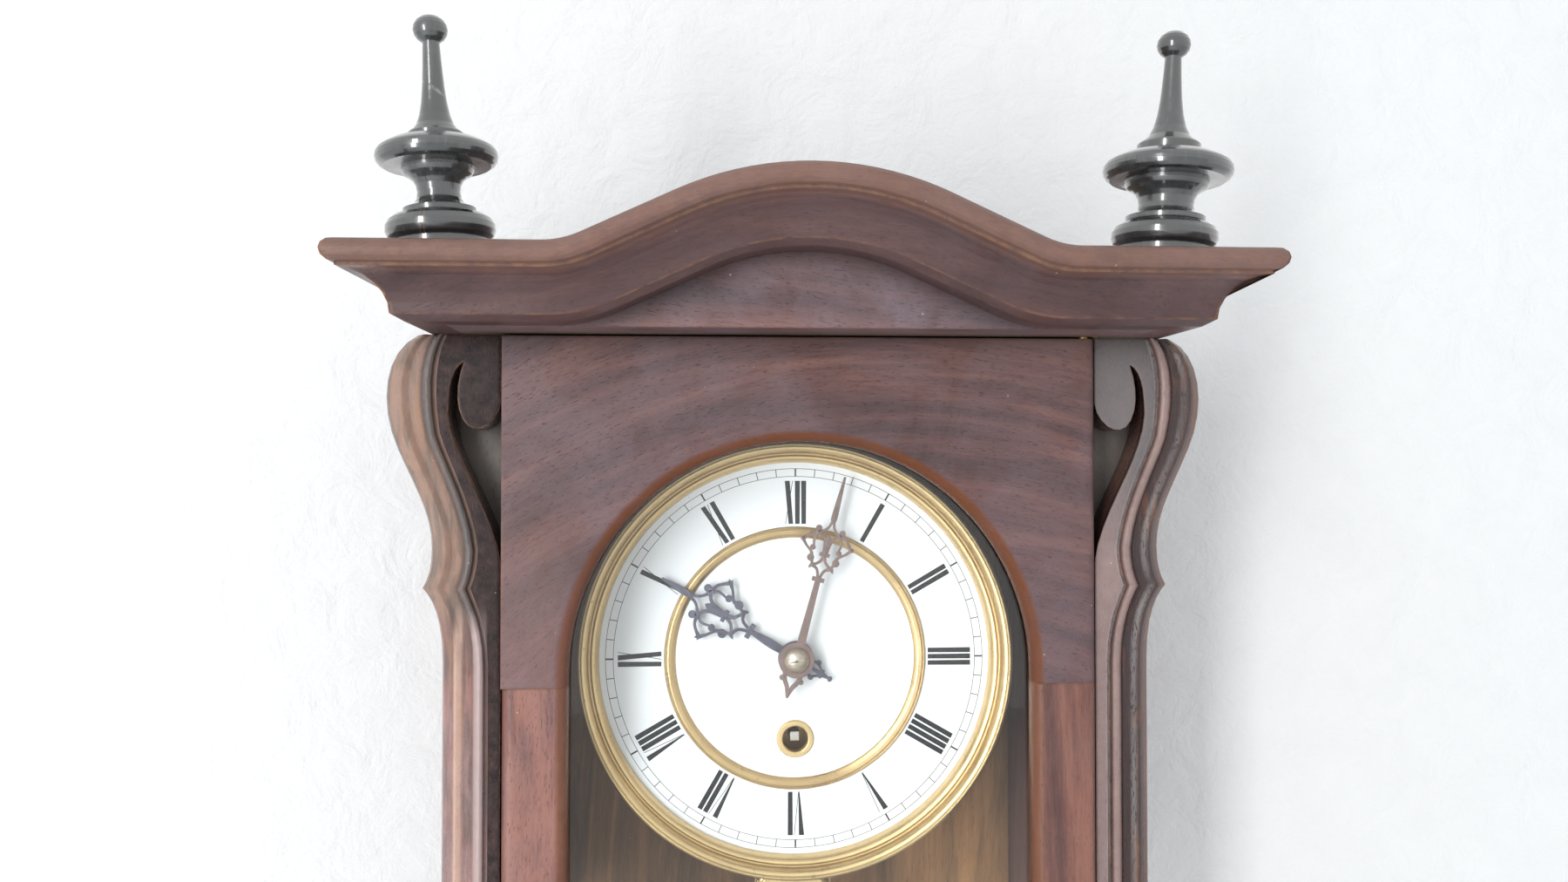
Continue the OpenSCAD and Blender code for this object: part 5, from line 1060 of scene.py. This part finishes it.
class CLOCK_OT_case_wood(bpy.types.Operator):
    """Carcass, back board and pendulum rod"""

    bl_idname = "clock.case_wood"
    bl_label = "Case wood"

    def execute(self, context):
        # the case's front edge is grey with dust where it shows through the piercings, and painted
        # lighter there as painted light where it lies in shade
        grey_dust_and_painted_light = (both(facing_front, level_zone(-0.16, 0.1, 0.02)), (0.200, 0.195, 0.165), 0.85)
        dress(wood("side_wood", bloom=0.40, gloss=0.44, shift=7.4, zones=(grey_dust_and_painted_light,)), "side_frames")
        dress(wood("top_wood", along="x", bloom=0.35, inside=True, gloss=0.60, shift=8.2, rub=0.3),
              "case_top", "bottom_board")
        dress(wood("block_wood", bloom=0.35, gloss=0.5, tint=(0.6, 0.65, 0.65), shift=9.0),
              "head_blocks")
        dress(wood("back_wood", turn=0.05, bloom=0.15, bands=1.2, inside=True, gloss=0.50,
                   tint=(2.05, 1.60, 1.15), shift=9.7, rub=0.4), "backboard")
        dress(wood("rod_wood", bloom=0.15, light=1.0, tint=(1.6, 1.7, 1.6), shift=10.6, rub=0.6),
              "pendulum_rod")
        return {"FINISHED"}


class CLOCK_OT_ebonised(bpy.types.Operator):
    """Black stained finials and drops"""

    bl_idname = "clock.ebonised"
    bl_label = "Ebonised turnings"

    def execute(self, context):
        dress(ebony("finial_ebony", crack_x=CRACK_ACROSS), "finials")
        dress(ebony("drop_ebony"), "turned_drops")
        return {"FINISHED"}


class CLOCK_OT_brasswork(bpy.types.Operator):
    """Bezel, rings, wheels, plates, pulley, weight and the other brass"""

    bl_idname = "clock.brasswork"
    bl_label = "Brasswork"

    def execute(self, context):
        dial, winding = tuple(DIAL_CENTRE), tuple(WINDING_CENTRE)
        turned = {
            "bezel": brass("bezel_brass", dial, bright=0.75, rough=0.36, cut=0.0005),
            "inner_ring": brass("ring_brass", dial, bright=0.34, rough=0.30, cut=0.0004,
                                milled=(*MILLED_BAND, MILLED_TEETH), least=0.42),
            "winding_grommet": brass("grommet_brass", winding, cut=0.0004),
            "winding_drum": brass("drum_brass", winding, core=ARBOR_RADIUS)}
        plate = brass("plate_brass")
        dark = brass("dark_brass", bright=0.35, rough=0.42)
        duller = ("dial_plate", "latch", "hinge_pins")
        for name in nodes_of("brass"):
            dress(turned.get(name, dark if name in duller else plate), name)
        return {"FINISHED"}


class CLOCK_OT_steelwork(bpy.types.Operator):
    """Arbors, pins, screws, hanger and the iron bracket"""

    bl_idname = "clock.steelwork"
    bl_label = "Steelwork"

    def execute(self, context):
        look = context.scene.clock_metal
        dress(steel("bare_steel", look.steel, (0.75, 0.74, 0.72), rust=0.35),
              *nodes_of("steel"))
        dress(japan("japanned_iron"), *nodes_of("iron"))
        return {"FINISHED"}


class CLOCK_OT_hands(bpy.types.Operator):
    """Browned minute hand, blued hour hand and the domed nut"""

    bl_idname = "clock.hands"
    bl_label = "Hands"

    def execute(self, context):
        look = context.scene.clock_metal
        browned = steel("browned_hand", look.rust, (0.27, 0.205, 0.190), metal=0.55, rough=0.42,
                        rust=0.25)
        blued = steel("blued_hand", look.blued, (0.17, 0.17, 0.23), metal=0.7, rough=0.32,
                      rust=0.15)
        for node, hand, slot, finish in (("hour_hand", HOUR_HAND, "blued_steel", blued),
                                         ("minute_hand", MINUTE_HAND, "browned_steel", browned)):
            dress(finish, node)
            name = node + "_fretted"
            shape = bmesh.new()
            lay_hand(shape, **hand)
            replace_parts(finish_piece(name, mesh_of(shape, name), node, finish), node)
        dress(steel("nut_steel", (0.42, 0.37, 0.31), (0.75, 0.70, 0.60), rough=0.30, rust=0.45),
              "hand_nut")
        return {"FINISHED"}


class CLOCK_OT_enamel(bpy.types.Operator):
    """White enamel of the chapter ring, centre and beat scale"""

    bl_idname = "clock.enamel"
    bl_label = "Enamel"

    def execute(self, context):
        dress(enamel("white_enamel"), "chapter_ring", "centre_disc")
        dress(enamel("aged_enamel", 0.3), "beat_scale")
        return {"FINISHED"}


class CLOCK_OT_glass(bpy.types.Operator):
    """Door glass and the glasses in the sides"""

    bl_idname = "clock.glass"
    bl_label = "Glass"

    def execute(self, context):
        dress(glass("window_glass"), "door_glass", "side_glasses")
        return {"FINISHED"}


class CLOCK_OT_numerals(bpy.types.Operator):
    """Twelve wedge shaped numerals fired on the chapter ring"""

    bl_idname = "clock.numerals"
    bl_label = "Numerals"

    def execute(self, context):
        dial = context.scene.clock_dial
        shape = bmesh.new()
        for hour, text in enumerate(WHOLE_NUMERALS):
            lay_numeral(shape, text, math.radians(30 * hour), dial)
        finish_piece("numerals", mesh_of(shape, "numerals"), "case", ink("numeral_ink"))
        return {"FINISHED"}


class CLOCK_OT_minute_track(bpy.types.Operator):
    """Two hairlines with sixty marks between them"""

    bl_idname = "clock.minute_track"
    bl_label = "Minute track"

    def execute(self, context):
        dial = context.scene.clock_dial
        shape = bmesh.new()
        for radius in (dial.track_inner, dial.track_outer):
            lay_ring(shape, radius, dial.hairline * 0.42, PAINT_BACK, dial.paint * 0.8)
        for minute in range(60):
            half = HOUR_MARK_HALF if minute % 5 == 0 else dial.hairline * 0.62
            lay_stroke(shape, math.radians(6 * minute), (0, dial.track_inner),
                       (0, dial.track_outer), half, half, dial.paint)
        finish_piece("minute_track", mesh_of(shape, "minute_track"), "case",
                     ink("track_ink"))
        return {"FINISHED"}


class CLOCK_OT_gut(bpy.types.Operator):
    """Twisted gut: the turns on the drum, the two runs and the bight under the pulley"""

    bl_idname = "clock.gut"
    bl_label = "Gut line"

    def execute(self, context):
        look = context.scene.clock_gut
        material = gut_finish("gut")
        start_depth = GUT_DEPTH - GUT_COIL_PITCH * GUT_COIL_TURNS
        total = int(GUT_COIL_TURNS * math.tau * GUT_COIL_RADIUS / GUT_COIL_STEP)
        coil = []
        for i in range(total + 1):
            share = i / total
            a = math.pi - (1 - share) * GUT_COIL_TURNS * math.tau
            coil.append(WINDING_CENTRE + Vector((
                GUT_COIL_RADIUS * math.cos(a),
                -(start_depth + GUT_COIL_PITCH * GUT_COIL_TURNS * share),
                GUT_COIL_RADIUS * math.sin(a))))
        coil.append(WINDING_CENTRE + Vector((-GUT_COIL_RADIUS, -GUT_DEPTH, -look.thickness)))
        twisted_gut("gut_turns", coil, "winding_drum", "gut_winding", material)

        top = WINDING_CENTRE.z - look.thickness
        sides = (("gut_left_run", -GUT_COIL_RADIUS, -PULLEY_RADIUS),
                 ("gut_right_run", PULLEY_RADIUS, PULLEY_RADIUS))
        for name, high_x, low_x in sides:
            run = twisted_gut(name, straight(Vector((high_x, -GUT_DEPTH, top)), Vector(
                (low_x, -GUT_DEPTH, PULLEY_CENTRE.z))), None, None, material)
            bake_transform(run)
            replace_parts(run, "gut_line")

        turn = [PULLEY_CENTRE + Vector((PULLEY_RADIUS * math.cos(a), -GUT_DEPTH,
                                        PULLEY_RADIUS * math.sin(a)))
                for a in (math.pi + math.pi * i / BIGHT_STEPS for i in range(BIGHT_STEPS + 1))]
        twisted_gut("gut_bight", turn, "weight", "gut_loop", material)
        return {"FINISHED"}


class CLOCK_PT_panel(bpy.types.Panel):
    """Lists the clock's pieces and finishes"""

    bl_idname = "CLOCK_PT_panel"
    bl_label = "Regulator wall clock"
    bl_space_type = "VIEW_3D"
    bl_region_type = "UI"
    bl_category = "Clock"

    def draw(self, context):
        for operator in OPERATORS:
            self.layout.operator(operator.bl_idname)
        for group, _ in GROUPS:
            look = getattr(context.scene, group)
            for name in look.__annotations__:
                self.layout.prop(look, name)


OPERATORS = (
    CLOCK_OT_stage, CLOCK_OT_show_wood, CLOCK_OT_door_wood, CLOCK_OT_case_wood,
    CLOCK_OT_ebonised, CLOCK_OT_brasswork, CLOCK_OT_steelwork, CLOCK_OT_hands, CLOCK_OT_enamel,
    CLOCK_OT_glass, CLOCK_OT_numerals, CLOCK_OT_minute_track, CLOCK_OT_gut,
)
GROUPS = (("clock_wood", ClockWood), ("clock_metal", ClockMetal), ("clock_dial", ClockDial),
          ("clock_gut", ClockGut), ("clock_stage", ClockStage))


def register():
    for name, group in GROUPS:
        bpy.utils.register_class(group)
        setattr(bpy.types.Scene, name, PointerProperty(type=group))
    for operator in OPERATORS:
        bpy.utils.register_class(operator)
    bpy.utils.register_class(CLOCK_PT_panel)


def unregister():
    bpy.utils.unregister_class(CLOCK_PT_panel)
    for operator in reversed(OPERATORS):
        bpy.utils.unregister_class(operator)
    for name, group in reversed(GROUPS):
        delattr(bpy.types.Scene, name)
        bpy.utils.unregister_class(group)


def main():
    register()
    bpy.ops.clock.stage()
    bpy.ops.clock.show_wood()
    bpy.ops.clock.door_wood()
    bpy.ops.clock.case_wood()
    bpy.ops.clock.ebonised()
    bpy.ops.clock.brasswork()
    bpy.ops.clock.steelwork()
    bpy.ops.clock.hands()
    bpy.ops.clock.enamel()
    bpy.ops.clock.glass()
    bpy.ops.clock.numerals()
    bpy.ops.clock.minute_track()
    bpy.ops.clock.gut()


if __name__ == "__main__":
    main()
